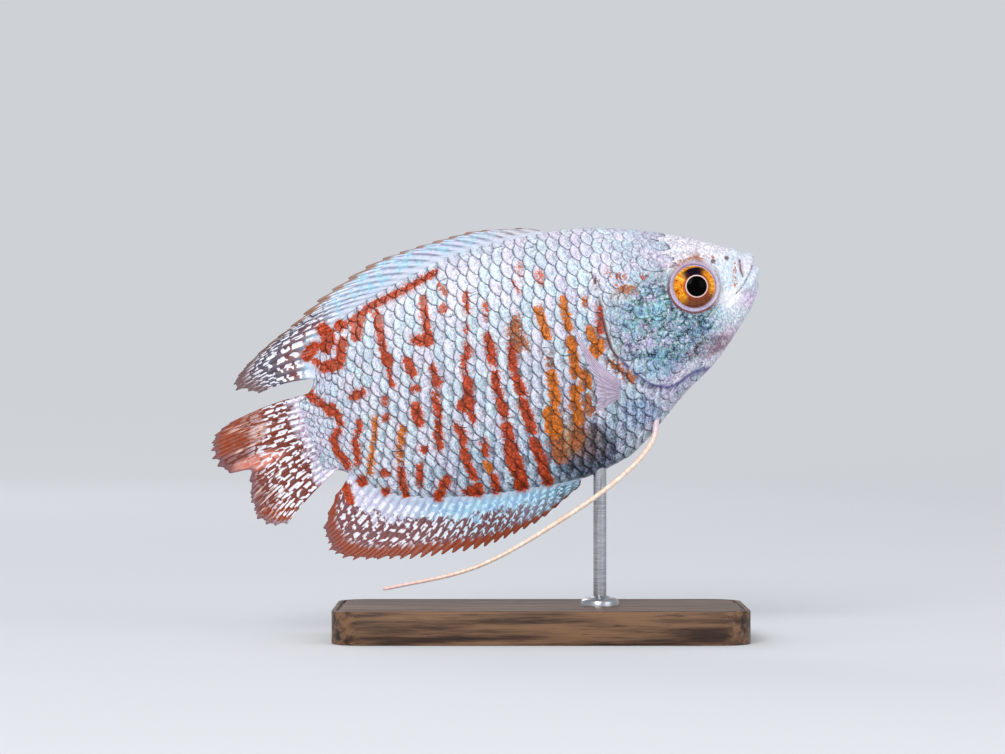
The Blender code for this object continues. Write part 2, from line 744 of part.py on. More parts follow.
def make_rod(material):
    """A round rod from its socket in the base to the belly, whose shape its top end takes."""
    foot = rod_foot()
    heights = (BASE_SIZE[2] - SOCKET_DEPTH + GAP, foot.z + 1.5 * MM)
    rod = tube("stand_rod", [(*foot.xy, z, ROD_RADIUS) for z in heights], 20)
    mould = new_object("mould", body_mesh("mould", swell=GAP))
    mould.data.transform(pose_matrix())
    boolean(rod, [mould], "DIFFERENCE")
    finish(rod, material, (*foot.xy, heights[0]), None)
    inner, outer = ROD_RADIUS + GAP, COLLAR_RADIUS
    low, high = BASE_SIZE[2] + GAP, BASE_SIZE[2] + GAP + COLLAR_HEIGHT
    collar = tube("stand_collar", [(*foot.xy, z, outer) for z in (low, high)], 24)
    bore = tube("bore", [(*foot.xy, z, inner) for z in (low - MM, high + MM)], 20)
    boolean(collar, [bore], "DIFFERENCE")
    finish(collar, material, (*foot.xy, low), None)


def main():
    for obj in list(bpy.data.objects):
        bpy.data.objects.remove(obj)
    pose = bpy.data.objects.new("fish_pose", None)
    bpy.context.scene.collection.objects.link(pose)
    skin = make_material("silver_blue_skin", (0.55, 0.68, 0.75), 0.35)
    fin = make_material("rust_fin", (0.62, 0.30, 0.20), 0.45)
    clear_fin = make_material("lilac_fin", (0.72, 0.62, 0.70), 0.4)
    thread = make_material("cream_thread", (0.86, 0.72, 0.62), 0.4)
    eye = make_material("amber_eye", (0.75, 0.38, 0.08), 0.1)
    wood = make_material("dark_wood", (0.08, 0.055, 0.045), 0.45)
    metal = make_material("brushed_steel", (0.62, 0.62, 0.62), 0.3, 1.0)
    make_head(skin)
    make_trunk(skin)
    make_tail_stalk(skin)
    make_eyes(eye)
    make_dorsal_fin(fin)
    make_anal_fin(fin)
    make_tail_fin(fin)
    make_pectoral_fins(clear_fin)
    make_feelers(thread)
    make_base(wood)
    make_rod(metal)
    pose.matrix_world = pose_matrix()


main()
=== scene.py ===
"""A male dwarf gourami as a still, life-size model that swims nose up over a wooden stand.

Fish frame: origin at the tip of the snout, +X out of the snout, +Y to its left, +Z to its back.
Shapes are drawn in that frame in millimetres, and then set in the world frame in metres.
A place in the side view is (behind, height): millimetres behind the snout and above the body's axis.
"""

import math

import bmesh
import bpy
import numpy as np
from bpy.props import FloatProperty, FloatVectorProperty, IntProperty, PointerProperty
from mathutils import Matrix, Vector


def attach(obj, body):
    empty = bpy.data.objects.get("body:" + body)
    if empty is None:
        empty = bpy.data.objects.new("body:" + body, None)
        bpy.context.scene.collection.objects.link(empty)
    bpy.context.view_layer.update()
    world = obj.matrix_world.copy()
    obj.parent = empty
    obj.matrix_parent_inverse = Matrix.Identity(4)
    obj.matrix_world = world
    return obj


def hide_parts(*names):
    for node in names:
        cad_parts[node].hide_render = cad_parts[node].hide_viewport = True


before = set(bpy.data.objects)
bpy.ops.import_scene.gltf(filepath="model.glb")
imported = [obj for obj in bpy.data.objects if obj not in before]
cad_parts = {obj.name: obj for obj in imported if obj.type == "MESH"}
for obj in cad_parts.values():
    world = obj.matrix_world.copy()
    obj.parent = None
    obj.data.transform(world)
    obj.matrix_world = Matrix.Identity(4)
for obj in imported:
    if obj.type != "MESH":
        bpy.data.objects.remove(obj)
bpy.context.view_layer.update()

bl_info = {
    "name": "Dwarf gourami on a stand",
    "version": (1, 0, 0),
    "blender": (4, 5, 0),
    "location": "View3D > Sidebar > Gourami",
    "description": "Makes a life-size male dwarf gourami with scales, rayed fins and feelers on a stand",
    "category": "Add Mesh",
}

LENGTH = 56.0
SNOUT = Vector((0.0264, 0.0, 0.0446))
PITCH = math.radians(20.2)
POSE = Matrix.Translation(SNOUT) @ Matrix.Rotation(-PITCH, 4, "Y") @ Matrix.Scale(0.001, 4)

# Body outline and section: (share of LENGTH behind the snout, share of LENGTH)
BACK_LINE = (
    (0.0, 0.022), (0.010, 0.043), (0.019, 0.052), (0.027, 0.0635), (0.042, 0.0715), (0.062, 0.086),
    (0.095, 0.110), (0.15, 0.144), (0.24, 0.190), (0.33, 0.225), (0.46, 0.251), (0.61, 0.266),
    (0.77, 0.249), (0.907, 0.212), (0.962, 0.164), (1.0, 0.092), (1.04, 0.082),
)
BELLY_LINE = (
    (0.0, 0.014), (0.005, -0.024), (0.0165, -0.0435), (0.043, -0.0722), (0.086, -0.1065),
    (0.154, -0.155), (0.25, -0.203), (0.33, -0.249), (0.41, -0.284), (0.50, -0.292), (0.63, -0.274),
    (0.755, -0.246), (0.90, -0.194), (0.955, -0.150), (1.0, -0.091), (1.04, -0.082),
)
HALF_WIDTH = (
    (0.0, 0.004), (0.012, 0.021), (0.04, 0.035), (0.09, 0.050), (0.15, 0.063), (0.22, 0.073),
    (0.32, 0.080), (0.42, 0.080), (0.54, 0.073), (0.67, 0.060), (0.80, 0.044), (0.92, 0.029),
    (1.0, 0.018), (1.04, 0.006),
)
WIDEST_LEVEL = ((0.0, 0.020), (0.15, 0.012), (0.35, -0.030), (0.6, -0.012), (1.0, 0.0), (1.04, 0.0))
KEEL = ((0.0, 1.0), (0.3, 1.02), (0.6, 1.12), (1.0, 1.2), (1.04, 1.2))
SNOUT_INSET = 0.0052 * LENGTH
SKIN_END = 1.035 * LENGTH
COAT_FADE = (54.0, 3.0)  # where the coat starts to thin out over the tail stalk, and over what length
SKIN_FACES = 150000
MERGE_WITHIN = 0.0002

# Hind edge of the gill cover, from the back down and forward under the cheek, in shares of LENGTH
GILL_EDGE = (
    (0.345, 0.300), (0.336, 0.200), (0.338, 0.120), (0.346, 0.060), (0.356, 0.000), (0.358, -0.045),
    (0.333, -0.105), (0.300, -0.152), (0.258, -0.170), (0.212, -0.158), (0.180, -0.160),
    (0.150, -0.210),
)
GILL_LIFT = 0.4

EYE_PLACE = (8.008, 2.65, 0.94)  # behind, aside, height
EYE_RADII = (2.8, 1.7, 2.8)
EYE_SIDE = (EYE_PLACE[0], EYE_PLACE[2])
EYE_SPOT = (-EYE_PLACE[0], 0.0, EYE_PLACE[2])
EYE_TURN = math.radians(9.0)
PUPIL = (7.74, 0.88)
RIM_RADIUS = 3.08
RIM_TUBE = 0.38
NOSTRILS = ((3.0, 2.85, 0.30), (4.7, 3.05, 0.34))

# Lips: half of each, from the middle to the corner of the mouth, as (behind, aside, height, radius)
UPPER_LIP = (
    (0.56, 0.0, 1.98, 0.82), (0.80, 0.75, 1.50, 0.72), (1.25, 1.30, 0.55, 0.58),
    (2.05, 1.72, -0.42, 0.40), (2.70, 1.95, -1.02, 0.30),
)
LOWER_LIP = (
    (0.16, 0.0, 0.30, 0.57), (0.42, 0.75, 0.00, 0.54), (0.95, 1.30, -0.66, 0.50),
    (1.85, 1.70, -1.32, 0.42), (2.80, 1.97, -1.42, 0.30),
)

# Folds of the head: (depth, half width, line in the side view)
FOLDS = (
    (
        0.20, 0.11,
        ((-0.2, 1.18), (0.35, 0.98), (0.75, 0.36), (1.3, -0.14), (2.0, -0.80), (2.8, -1.24), (3.4, -1.62)),
    ),
    (0.20, 0.13, ((1.52, 2.35), (1.72, 1.5), (1.95, 0.75), (1.98, 0.05))),
    (0.09, 0.20, ((2.3, 2.1), (2.55, 1.1), (2.95, 0.2), (3.3, -0.5), (3.5, -1.1))),
    (0.08, 0.20, ((3.3, -1.6), (4.4, -2.1), (5.7, -2.9), (7.2, -4.1), (8.6, -5.5))),
    (0.07, 0.16, ((1.4, -2.3), (3.2, -3.55), (5.5, -5.1), (8.0, -6.7), (11.0, -8.5))),
    (0.11, 0.24, ((14.2, 3.2), (15.2, 0.4), (14.9, -2.2), (14.0, -4.4), (12.0, -6.3))),
    (0.05, 0.16, ((4.6, 1.2), (4.3, -0.2), (4.9, -1.7), (6.3, -2.9), (8.2, -3.3))),
    (0.04, 0.14, ((5.4, 4.6), (7.6, 5.2), (10.4, 5.0), (12.4, 4.0))),
    (0.035, 0.12, ((3.6, 4.2), (5.2, 5.4), (7.4, 6.4))),
)

# Colour marks of each kind: half width, then behind and height of each point of a line
MARKS = {
    "red": (
        (0.39, 56.4, 4.9, 55.6, 3.7, 54.9, 2.7, 54.2, 1.9, 53.9, 1.0), (0.73, 54.4, 2.2),
        (0.27, 54.1, 1.0, 53.9, -0.1), (0.37, 54.5, -0.6, 55.4, -1.3, 55.5, -2.9, 54.9, -4.1, 55.0, -5.1),
        (0.32, 51.7, -0.4, 52.1, -1.3, 53.0, -2.3, 53.2, -4.0, 53.7, -5.2), (0.49, 48.5, -1.0),
        (0.27, 47.8, 1.3, 48.0, 0.5), (0.51, 51.4, 2.7, 50.3, 2.9),
        (0.41, 48.9, -7.5, 49.3, -9.0, 49.5, -10.7), (0.41, 45.2, 11.2, 45.4, 9.7, 45.7, 8.0, 46.0, 6.7),
        (0.61, 46.0, 5.8, 45.9, 5.2), (0.22, 46.1, 4.6, 46.4, 2.4), (0.51, 43.6, 4.5, 43.6, 2.9),
        (0.44, 43.9, 1.0), (0.56, 44.6, -1.1, 44.8, -1.9, 44.9, -2.9), (0.46, 45.4, -6.3),
        (0.39, 46.7, -8.0, 47.0, -9.0, 47.4, -10.0), (0.54, 44.2, -10.6, 45.0, -11.6, 45.9, -12.3),
        (0.41, 39.2, 11.0, 39.6, 9.7, 39.9, 8.3, 40.2, 7.1), (0.66, 40.3, 6.5, 40.5, 6.0),
        (0.51, 41.9, 6.6, 41.4, 6.2), (0.37, 41.1, 2.7, 41.1, 1.5, 41.3, 0.5),
        (0.39, 41.8, -0.4, 42.1, -1.6, 42.4, -3.2), (0.44, 42.7, -3.9, 43.2, -5.1, 43.6, -6.6),
        (0.41, 40.7, -5.0, 40.4, -6.1, 40.7, -6.9), (0.44, 41.0, -7.9, 41.1, -9.3),
        (0.46, 41.1, -10.0, 41.0, -11.3), (0.56, 40.9, -12.7, 41.1, -13.4, 42.2, -12.9),
        (0.22, 36.9, 11.9, 36.5, 10.5), (0.49, 37.3, 8.9),
        (0.32, 36.2, 3.9, 36.4, 2.7, 37.4, 2.1, 37.6, 0.5), (0.49, 37.6, -0.2, 38.0, -1.5, 38.3, -2.2),
        (0.78, 38.6, -2.9, 39.1, -3.0), (0.37, 38.5, -4.1, 38.6, -5.1), (0.39, 38.3, -8.0, 38.7, -9.3),
        (0.41, 38.7, -12.4, 39.0, -14.1), (0.32, 34.2, 9.7, 34.6, 8.5, 34.9, 7.5),
        (0.19, 35.4, 6.3, 35.8, 5.1), (0.49, 33.5, 3.9, 33.7, 2.4, 34.0, 1.0),
        (0.46, 34.2, -0.5, 34.5, -1.7, 34.7, -3.4), (0.49, 34.8, -4.4, 34.8, -5.6),
        (0.63, 35.1, -7.1, 35.4, -8.5), (0.85, 35.5, -9.7, 35.7, -11.6, 35.8, -14.4),
        (0.22, 32.4, 7.8, 32.9, 6.1), (0.44, 31.3, 1.7, 31.9, -0.5), (0.51, 32.0, -1.7, 32.0, -3.9),
        (0.56, 32.3, -5.1, 32.3, -7.1, 32.4, -8.5), (0.61, 32.6, -10.0, 32.6, -12.2, 32.7, -15.1),
        (0.19, 27.1, 10.7, 27.3, 9.5), (0.24, 25.1, 9.0, 25.2, 7.8), (0.16, 28.4, 9.0, 28.1, 7.5),
        (0.29, 19.8, 2.4, 20.2, 1.0, 20.5, -0.2), (0.37, 36.8, 13.4, 41.4, 12.7, 45.3, 12.3, 48.5, 11.3),
        (0.58, 47.2, 11.6, 48.2, 10.2, 48.5, 9.5), (0.68, 49.9, 11.4),
        (0.78, 52.0, 11.7, 51.7, 10.5, 52.3, 9.5), (0.66, 53.7, 10.1, 55.0, 9.3),
        (0.51, 50.2, 9.5, 50.9, 8.3, 51.4, 7.3), (0.68, 53.3, 7.3, 51.9, 7.1),
        (0.37, 54.3, 8.5, 53.6, 7.5), (0.18, 13.4, 4.1), (0.66, 53.9, -7.3),
        (0.46, 56.1, -7.3, 56.1, -9.0), (0.51, 51.6, -9.5), (0.49, 50.9, -7.3),
    ),
    "orange": (
        (0.29, 49.8, -0.6, 50.3, -2.2, 51.1, -3.8, 52.1, -5.4, 52.7, -6.7),
        (0.34, 47.0, -2.9, 47.6, -4.0, 48.3, -5.4, 48.6, -6.8), (0.37, 39.0, -10.5, 38.8, -11.7),
        (0.46, 26.7, 4.9, 26.7, 3.2, 26.8, 1.5), (0.56, 27.9, -2.9, 28.1, -4.6, 28.6, -6.3),
        (0.91, 29.5, -7.5, 29.9, -9.7), (0.44, 23.4, 4.9, 23.7, 3.4, 24.0, 1.5),
        (0.51, 24.2, 0.0, 24.7, -2.4, 25.2, -4.1), (0.56, 25.8, -5.6, 26.4, -7.5, 26.8, -9.5),
        (0.49, 24.0, -4.4, 24.3, -5.8), (0.41, 21.7, 0.5, 21.7, -0.7), (0.80, 21.4, -1.5, 21.9, -2.4),
        (0.27, 20.8, 4.3, 21.2, 3.4),
    ),
    "rust": (
        (0.78, 29.6, 4.4, 30.4, 3.2, 30.7, 1.5), (0.41, 29.7, 2.4, 29.6, 1.0),
        (0.41, 27.4, -0.7, 27.5, -1.9), (0.91, 30.1, -11.0, 30.3, -12.7),
        (0.79, 27.3, -10.7, 28.0, -11.9), (0.61, 24.8, -7.3, 25.1, -8.8),
        # The second mark on the next line runs along a fold beside the upper lip: painted shade in that
        # crease, in the rust colour.
        (0.51, 20.7, -4.1, 19.8, -5.5, 19.0, -6.9), (0.10, 2.35, 1.9, 2.55, 1.1, 2.95, 0.2, 3.3, -0.5),
        (0.13, 4.6, 3.5, 5.8, 3.9, 7.0, 4.3, 8.6, 4.4), (0.37, 16.8, 3.9, 15.1, 3.2),
        (0.19, 15.6, 4.9, 17.3, 6.1),
    ),
    "dark": (
        # The first mark runs along the fold behind the upper lip and the second along the mouth's line
        # between the lips: both are painted shade in creases.
        (0.12, 1.60, 2.1, 1.76, 1.5, 1.95, 0.75, 1.98, 0.05),
        (0.09, 0.05, 1.10, 0.35, 0.98, 0.75, 0.36, 1.3, -0.14, 2.0, -0.80, 2.8, -1.24, 3.4, -1.62),
        (0.19, 19.2, 5.4, 18.5, 6.8), (0.22, 13.1, 4.1), (0.15, 16.2, 6.8),
    ),
}

# Broad colours of the body: (behind, height, reach along, reach up, colour, strength)
BODY_PATCHES = (
    (26.0, 14.5, 22.0, 9.0, (234, 228, 244), 0.95),
    (41.0, 10.5, 15.0, 7.0, (234, 240, 250), 0.95),
    (36.0, 3.0, 15.0, 7.0, (212, 220, 230), 0.8),
    (49.0, -3.0, 11.0, 9.0, (206, 216, 232), 0.8),
    (41.0, -12.0, 17.0, 7.0, (142, 160, 186), 0.9),
    (33.0, -12.5, 7.0, 5.0, (122, 138, 160), 0.7),
    (14.0, 9.0, 15.0, 5.0, (236, 224, 242), 0.95),
    (7.0, 5.2, 8.0, 3.4, (224, 208, 226), 0.9),
    (27.0, -13.5, 7.5, 5.5, (40, 46, 54), 1.0),
    (27.0, -11.8, 4.5, 4.0, (56, 40, 34), 0.7),
    (28.6, -8.6, 3.4, 5.6, (112, 74, 38), 0.75),
    (24.6, -6.6, 2.6, 4.0, (110, 98, 84), 0.6),
    (19.5, -11.0, 4.4, 3.4, (84, 94, 124), 0.9),
    (12.5, -9.4, 6.4, 2.8, (172, 158, 180), 0.95),
    (11.5, -1.0, 5.2, 5.2, (184, 210, 220), 0.95),
    (17.2, -2.0, 4.0, 6.0, (186, 198, 204), 0.8),
    (9.7, -3.9, 3.6, 2.3, (84, 98, 112), 0.85),
    (15.0, -6.8, 4.6, 2.0, (136, 168, 200), 0.9),
    (7.4, -6.4, 6.0, 2.4, (166, 138, 160), 0.95),
    (4.9, -1.55, 2.5, 1.3, (246, 246, 252), 1.0),
    (3.4, 1.2, 2.0, 1.8, (180, 196, 218), 0.7),
    (1.8, -2.9, 2.6, 1.8, (176, 146, 186), 0.95),
    (0.6, 1.2, 1.6, 1.8, (192, 188, 214), 0.9),
    (16.6, 3.3, 2.8, 1.5, (186, 130, 100), 0.7),
    (19.2, 5.4, 1.5, 1.6, (150, 112, 100), 0.6),
    (8.3, 4.1, 2.6, 0.9, (214, 160, 130), 0.6),
    (57.0, 0.6, 4.4, 6.0, (206, 204, 228), 0.95),
)
BODY_BASE = (178, 192, 206)

# Fins: root as shares of LENGTH, and the margin as (share along the root, behind, height) in shares of LENGTH
DORSAL_ROOT = (0.405, 0.985)
DORSAL_RAYS = 24
DORSAL_SPINES = 16
DORSAL_MARGIN = (
    (0.0, 0.455, 0.268), (0.15, 0.578, 0.300), (0.35, 0.752, 0.308), (0.50, 0.898, 0.278),
    (0.62, 1.000, 0.236), (0.74, 1.087, 0.206), (0.88, 1.161, 0.158), (1.0, 1.110, 0.126),
)
ANAL_ROOT = (0.515, 0.985)
ANAL_RAYS = 30
ANAL_SPINES = 17
ANAL_MARGIN = (
    (0.0, 0.530, -0.306), (0.15, 0.652, -0.348), (0.30, 0.755, -0.356), (0.45, 0.856, -0.340),
    (0.60, 0.955, -0.316), (0.72, 1.040, -0.286), (0.82, 1.086, -0.250), (0.92, 1.084, -0.205),
    (1.0, 1.030, -0.140),
)
TAIL_RAYS = 16
TAIL_ROOT_HALF = 0.089
TAIL_MARGIN = (
    (0.0, 1.190, 0.088), (0.13, 1.232, 0.074), (0.26, 1.252, 0.046), (0.38, 1.254, 0.014),
    (0.46, 1.236, -0.014), (0.50, 1.192, -0.028), (0.55, 1.196, -0.054), (0.64, 1.208, -0.084),
    (0.76, 1.210, -0.118), (0.88, 1.190, -0.150), (1.0, 1.150, -0.163),
)
TAIL_SWEEP = 1.6
TAIL_PLEAT = 0.7

# Columns of points from one ray to the next
RAY_COLUMNS = 8

# Pectoral fin: its root on the flank, and its margin as (share, back, up, out) from the root
PECTORAL_ROOT = ((20.5, -6.5), (21.3, -8.5))
PECTORAL_RAYS = 11
PECTORAL_MARGIN = (
    (0.0, 2.9, 8.8, 2.3), (0.2, 3.0, 6.8, 3.9), (0.4, 2.7, 4.7, 5.2), (0.6, 2.4, 2.3, 6.1),
    (0.8, 2.7, 0.4, 5.7), (1.0, 3.6, -0.8, 4.0),
)
PECTORAL_BOW = 0.10
PECTORAL_SAG = 0.9
PECTORAL_SINK = 0.7

# Thread-like pelvic fins: (behind, aside, height)
FEELER_NEAR = (
    (17.7, 1.20, -12.5), (18.75, 1.95, -14.45), (20.8, 2.40, -16.05), (24.7, 3.00, -17.75),
    (32.2, 3.70, -19.8), (44.6, 4.60, -21.7), (55.9, 5.40, -20.3),
)
FEELER_FAR = (
    (17.7, 1.20, -12.5), (18.9, 2.20, -14.0), (22.0, 3.00, -14.9), (28.0, 3.70, -15.8),
    (36.0, 4.40, -16.6), (46.0, 5.20, -16.4), (55.0, 5.80, -14.9),
)

SIDES = ((1, "left"), (-1, "right"))
BASE_SIZE = (0.050, 0.026, 0.004)
BASE_CORNER = 4.0
BASE_EDGE = ((0.55, 0.0), (0.0, -0.35), (0.45, 0.0), (0.0, 0.35), (0.35, 0.0))  # (inwards, up) of its steps
ROD_CLEARANCE = 0.00002
ROD_BEHIND = 26.4
ROD_BELLY = -16.3
CAMERA_PLACE = (-0.0046, -0.45, 0.0318)
CAMERA_LENS = 132.4


def paint(red, green, blue):
    """A linear colour from the 0..255 values of a colour chart."""
    shares = [c / 255 for c in (red, green, blue)]
    return tuple(c / 12.92 if c <= 0.04045 else ((c + 0.055) / 1.055) ** 2.4 for c in shares)


def millimetres(name, description, default, low=0.0, high=10.0):
    return FloatProperty(
        name=name, description=description + ", in millimetres", default=default, min=low, max=high
    )


class GouramiSizes(bpy.types.PropertyGroup):
    coat_depth: millimetres(
        "Coat depth", "How far the skin lies inside the flank's outline", 0.15, 0.05, 0.4
    )
    scale_rows: IntProperty(
        name="Scale rows", description="Rows of scales from the back to the belly", default=18, min=8, max=40
    )
    scale_pitch: millimetres(
        "Scale pitch", "Distance from scale to scale along a row at mid body", 1.39, 0.6, 4.0
    )
    scale_rise: millimetres(
        "Scale rise", "How far a scale's hind edge stands above its root", 0.12, 0.05, 0.6
    )
    skin_voxel: millimetres("Skin detail", "Size of the skin's facets on the head", 0.15, 0.1)
    ray_half: millimetres("Ray thickness", "Half of a fin ray's thickness at its root", 0.26)
    membrane_half: millimetres(
        "Membrane thickness", "Half of the membrane's thickness between two rays", 0.09
    )
    feeler_radius: millimetres("Feeler radius", "Radius of a feeler along its length", 0.31)
    rod_radius: FloatProperty(
        name="Rod radius", description="Radius of the steel rod", default=0.0008, unit="LENGTH",
        subtype="DISTANCE",
    )
    collar_radius: FloatProperty(
        name="Collar radius", description="Radius of the rod's collar", default=0.0023, unit="LENGTH"
    )


def colour_property(name, what, chart):
    settings = {"name": name, "description": f"Colour of {what}", "default": paint(*chart)}
    return FloatVectorProperty(subtype="COLOR", size=3, min=0.0, max=1.0, **settings)


class GouramiColours(bpy.types.PropertyGroup):
    bar_red: colour_property("Bar red", "the bars on the hind flank", (176, 58, 6))
    bar_orange: colour_property("Bar orange", "the bars behind the gill cover", (196, 102, 4))
    bar_rust: colour_property("Bar rust", "the blurred bars on the breast", (158, 86, 44))
    # Besides the spots, this colour is the painted shade along the mouth's line and the fold behind the upper
    # lip.
    spot_and_crease_shade: colour_property("Dark spot", "the small spots and pits", (88, 38, 40))
    fin_cyan: colour_property("Fin cyan", "Pale colour of the upright fins' membranes", (160, 204, 226))
    fin_white: colour_property("Fin white", "the dashes between the rays", (238, 240, 250))
    fin_net: colour_property("Fin net", "the net round the pale dashes", (118, 34, 12))
    fin_orange: colour_property("Fin orange", "the fins' margins", (148, 56, 2))
    fin_pink: colour_property("Fin pink", "the tail's middle fold", (226, 138, 118))
    fin_mauve: colour_property("Fin mauve", "the frayed edges", (126, 84, 96))
    pectoral_lilac: colour_property("Pectoral lilac", "the pectoral fins' membranes", (206, 182, 212))
    feeler_cream: colour_property("Feeler cream", "the feelers", (244, 208, 186))
    iris_gold: colour_property("Iris gold", "the iris", (232, 138, 18))
    wood_dark: colour_property("Wood", "the stand's base", (74, 48, 34))
    steel: colour_property("Steel", "the rod and its collar", (196, 198, 202))
    floor: colour_property("Floor", "the floor", (226, 228, 231))


def smooth_through(points):
    """A function running smoothly through (place, value...) points, level where the values turn back."""
    places = np.array([p[0] for p in points], float)
    values = np.array([p[1:] for p in points], float)
    slopes = np.diff(values, axis=0) / np.diff(places)[:, None]
    tangents = np.zeros_like(values)
    tangents[0], tangents[-1] = slopes[0], slopes[-1]
    before, after = slopes[:-1], slopes[1:]
    product, total = before * after, before + after
    onward = product > 0
    tangents[1:-1][onward] = 2 * product[onward] / total[onward]

    def at(place):
        place = np.clip(np.asarray(place, float), places[0], places[-1])
        i = np.clip(np.searchsorted(places, place, side="right") - 1, 0, len(places) - 2)
        span = (places[i + 1] - places[i])[..., None]
        t = (place - places[i])[..., None] / span
        rise = (
            (2 * t**3 - 3 * t**2 + 1) * values[i]
            + (t**3 - 2 * t**2 + t) * span * tangents[i]
            + (3 * t**2 - 2 * t**3) * values[i + 1]
            + (t**3 - t**2) * span * tangents[i + 1]
        )
        return rise[..., 0] if values.shape[1] == 1 else rise

    return at


def body_line(points):
    """Height or width in millimetres against the distance behind the snout."""
    shaped = smooth_through([(math.sqrt(p[0]), p[1]) for p in points])
    return lambda behind: LENGTH * shaped(np.sqrt(np.clip(behind, 0.0, None) / LENGTH))


back = body_line(BACK_LINE)
belly = body_line(BELLY_LINE)
half_width = body_line(HALF_WIDTH)
widest_level = body_line(WIDEST_LEVEL)
keel = smooth_through(KEEL)


def smooth_step(x):
    x = np.clip(x, 0.0, 1.0)
    return x * x * (3 - 2 * x)


def ring_point(behind, turn, inset=0.0, lift=0.0):
    """Points of the body, turned from the back (0) over the left flank (+) or the right one (-)."""
    behind, turn = np.broadcast_arrays(np.asarray(behind, float), np.asarray(turn, float))
    level = widest_level(behind)
    up, out = np.cos(turn), np.sin(turn)
    reach = np.where(up > 0, back(behind) - level, level - belly(behind))
    side = np.sign(out) * np.abs(out) ** keel(behind / LENGTH)
    aside = (half_width(behind) - inset + lift * np.abs(side)) * side
    return np.stack([-behind, aside, level + (reach - inset) * up], axis=-1)


def flank(behind, height):
    """How far the body's surface lies from the middle plane, at this place in the side view."""
    level = widest_level(behind)
    reach = np.where(height > level, back(behind) - level, level - belly(behind))
    across = 1 - np.minimum(((height - level) / reach) ** 2, 1.0)
    return half_width(behind) * np.sqrt(across) ** keel(behind / LENGTH)


def coat_room(behind, depth, fade=None):
    """How far the skin lies inside the outline: the coat's depth, but nothing on the snout."""
    room = depth * smooth_step((np.asarray(behind, float) - 5.0) / 6.0)
    return room if fade is None else room * (1 - smooth_step((behind - fade[0]) / fade[1]))


def line_distance(places, line):
    """Distance of each (behind, height) place from a line, and the side of it that the place is on."""
    line = np.asarray(line, float)
    if len(line) == 1:
        return np.linalg.norm(places - line[0], axis=1), np.ones(len(places))
    best = np.full(len(places), 1e9)
    side = np.ones(len(places))
    for start, end in zip(line[:-1], line[1:]):
        run = end - start
        offset = places - start
        t = np.clip(offset @ run / (run @ run), 0.0, 1.0)
        distance = np.linalg.norm(offset - t[:, None] * run, axis=1)
        closer = distance < best
        best[closer] = distance[closer]
        side[closer] = np.sign(run[0] * offset[closer, 1] - run[1] * offset[closer, 0])
    return best, side


GILL_LINE = smooth_through([(i, LENGTH * b, LENGTH * h) for i, (b, h) in enumerate(GILL_EDGE)])(
    np.linspace(0, len(GILL_EDGE) - 1, 45)
)


def ahead_of_gill_edge(places):
    """How far each place lies ahead of the gill cover's edge. It is below zero on the trunk."""
    distance, side = line_distance(places, GILL_LINE)
    return -side * distance


def cover_lift(behind, height):
    """How far the gill cover stands out from the plain body, away from the nape."""
    grown = GILL_LIFT * smooth_step((behind / LENGTH - 0.19) / 0.13)
    return grown * smooth_step((9.5 - height) / 5.0)


def mark_strengths(places):
    """For each kind of mark 1 well inside it, 0.5 on its edge and 0 well outside."""
    found = np.zeros((len(places), len(MARKS)))
    listed = [(column, mark) for column, kind in enumerate(MARKS.values()) for mark in kind]
    for column, (half, *line) in listed:
        line = np.reshape(line, (-1, 2))
        low, high = line.min(axis=0) - half - 0.5, line.max(axis=0) + half + 0.5
        near = np.where(np.all((places > low) & (places < high), axis=1))[0]
        if len(near):
            distance, _ = line_distance(places[near], line)
            strength = np.clip(0.5 + (half - distance) / 0.9, 0.0, 1.0)
            found[near, column] = np.maximum(found[near, column], strength)
    return found


def only(obj):
    """Selects this object alone, and makes it active."""
    bpy.ops.object.select_all(action="DESELECT")
    obj.select_set(True)
    bpy.context.view_layer.objects.active = obj


def edit_all(obj):
    """Opens the object in edit mode with all of it selected."""
    only(obj)
    bpy.ops.object.mode_set(mode="EDIT")
    bpy.ops.mesh.select_all(action="SELECT")


def double_up(obj):
    """Adds a second layer in the same place, joined to the first at its edges."""
    edit_all(obj)
    bpy.ops.mesh.extrude_region_move(TRANSFORM_OT_translate={"value": (0.0, 0.0, 0.0)})
    bpy.ops.object.mode_set(mode="OBJECT")


def new_shape(name, add, **settings):
    """A new object made by one of Blender's own shapes."""
    bpy.ops.object.select_all(action="DESELECT")
    add(**settings)
    made = bpy.context.object
    made.name = name
    made.data.name = name
    return made


def drop_charts(obj):
    while obj.data.uv_layers:
        obj.data.uv_layers.remove(obj.data.uv_layers[0])


def start_grid(name, columns, rows):
    """A new grid of columns by rows points, numbered row after row within a column."""
    add = bpy.ops.mesh.primitive_grid_add
    made = new_shape(name, add, x_subdivisions=rows - 1, y_subdivisions=columns - 1, size=1.0)
    drop_charts(made)
    return made


def get_points(obj):
    points = np.zeros(len(obj.data.vertices) * 3)
    obj.data.vertices.foreach_get("co", points)
    return points.reshape(-1, 3)


def set_points(obj, points):
    obj.data.vertices.foreach_set("co", np.asarray(points, float).reshape(-1))
    obj.data.update()


def get_normals(obj):
    normals = np.zeros(len(obj.data.vertices) * 3)
    obj.data.vertices.foreach_get("normal", normals)
    return normals.reshape(-1, 3)


def close_up(obj, fill=True):
    """Merges points that lie together, fills what is open and turns the faces outwards."""
    edit_all(obj)
    bpy.ops.mesh.remove_doubles(threshold=MERGE_WITHIN)
    if fill:
        bpy.ops.mesh.select_all(action="SELECT")
        bpy.ops.mesh.fill_holes(sides=0)
    bpy.ops.mesh.select_all(action="SELECT")
    bpy.ops.mesh.normals_make_consistent(inside=False)
    bpy.ops.mesh.select_all(action="DESELECT")
    bpy.ops.object.mode_set(mode="OBJECT")


def rolled_grid(name, rings):
    """A closed surface through rings of points, each ring open where it would meet itself."""
    rings = np.asarray(rings)
    rings = np.concatenate([rings, rings[:, :1]], axis=1)
    made = start_grid(name, rings.shape[0], rings.shape[1])
    set_points(made, rings)
    close_up(made)
    return made


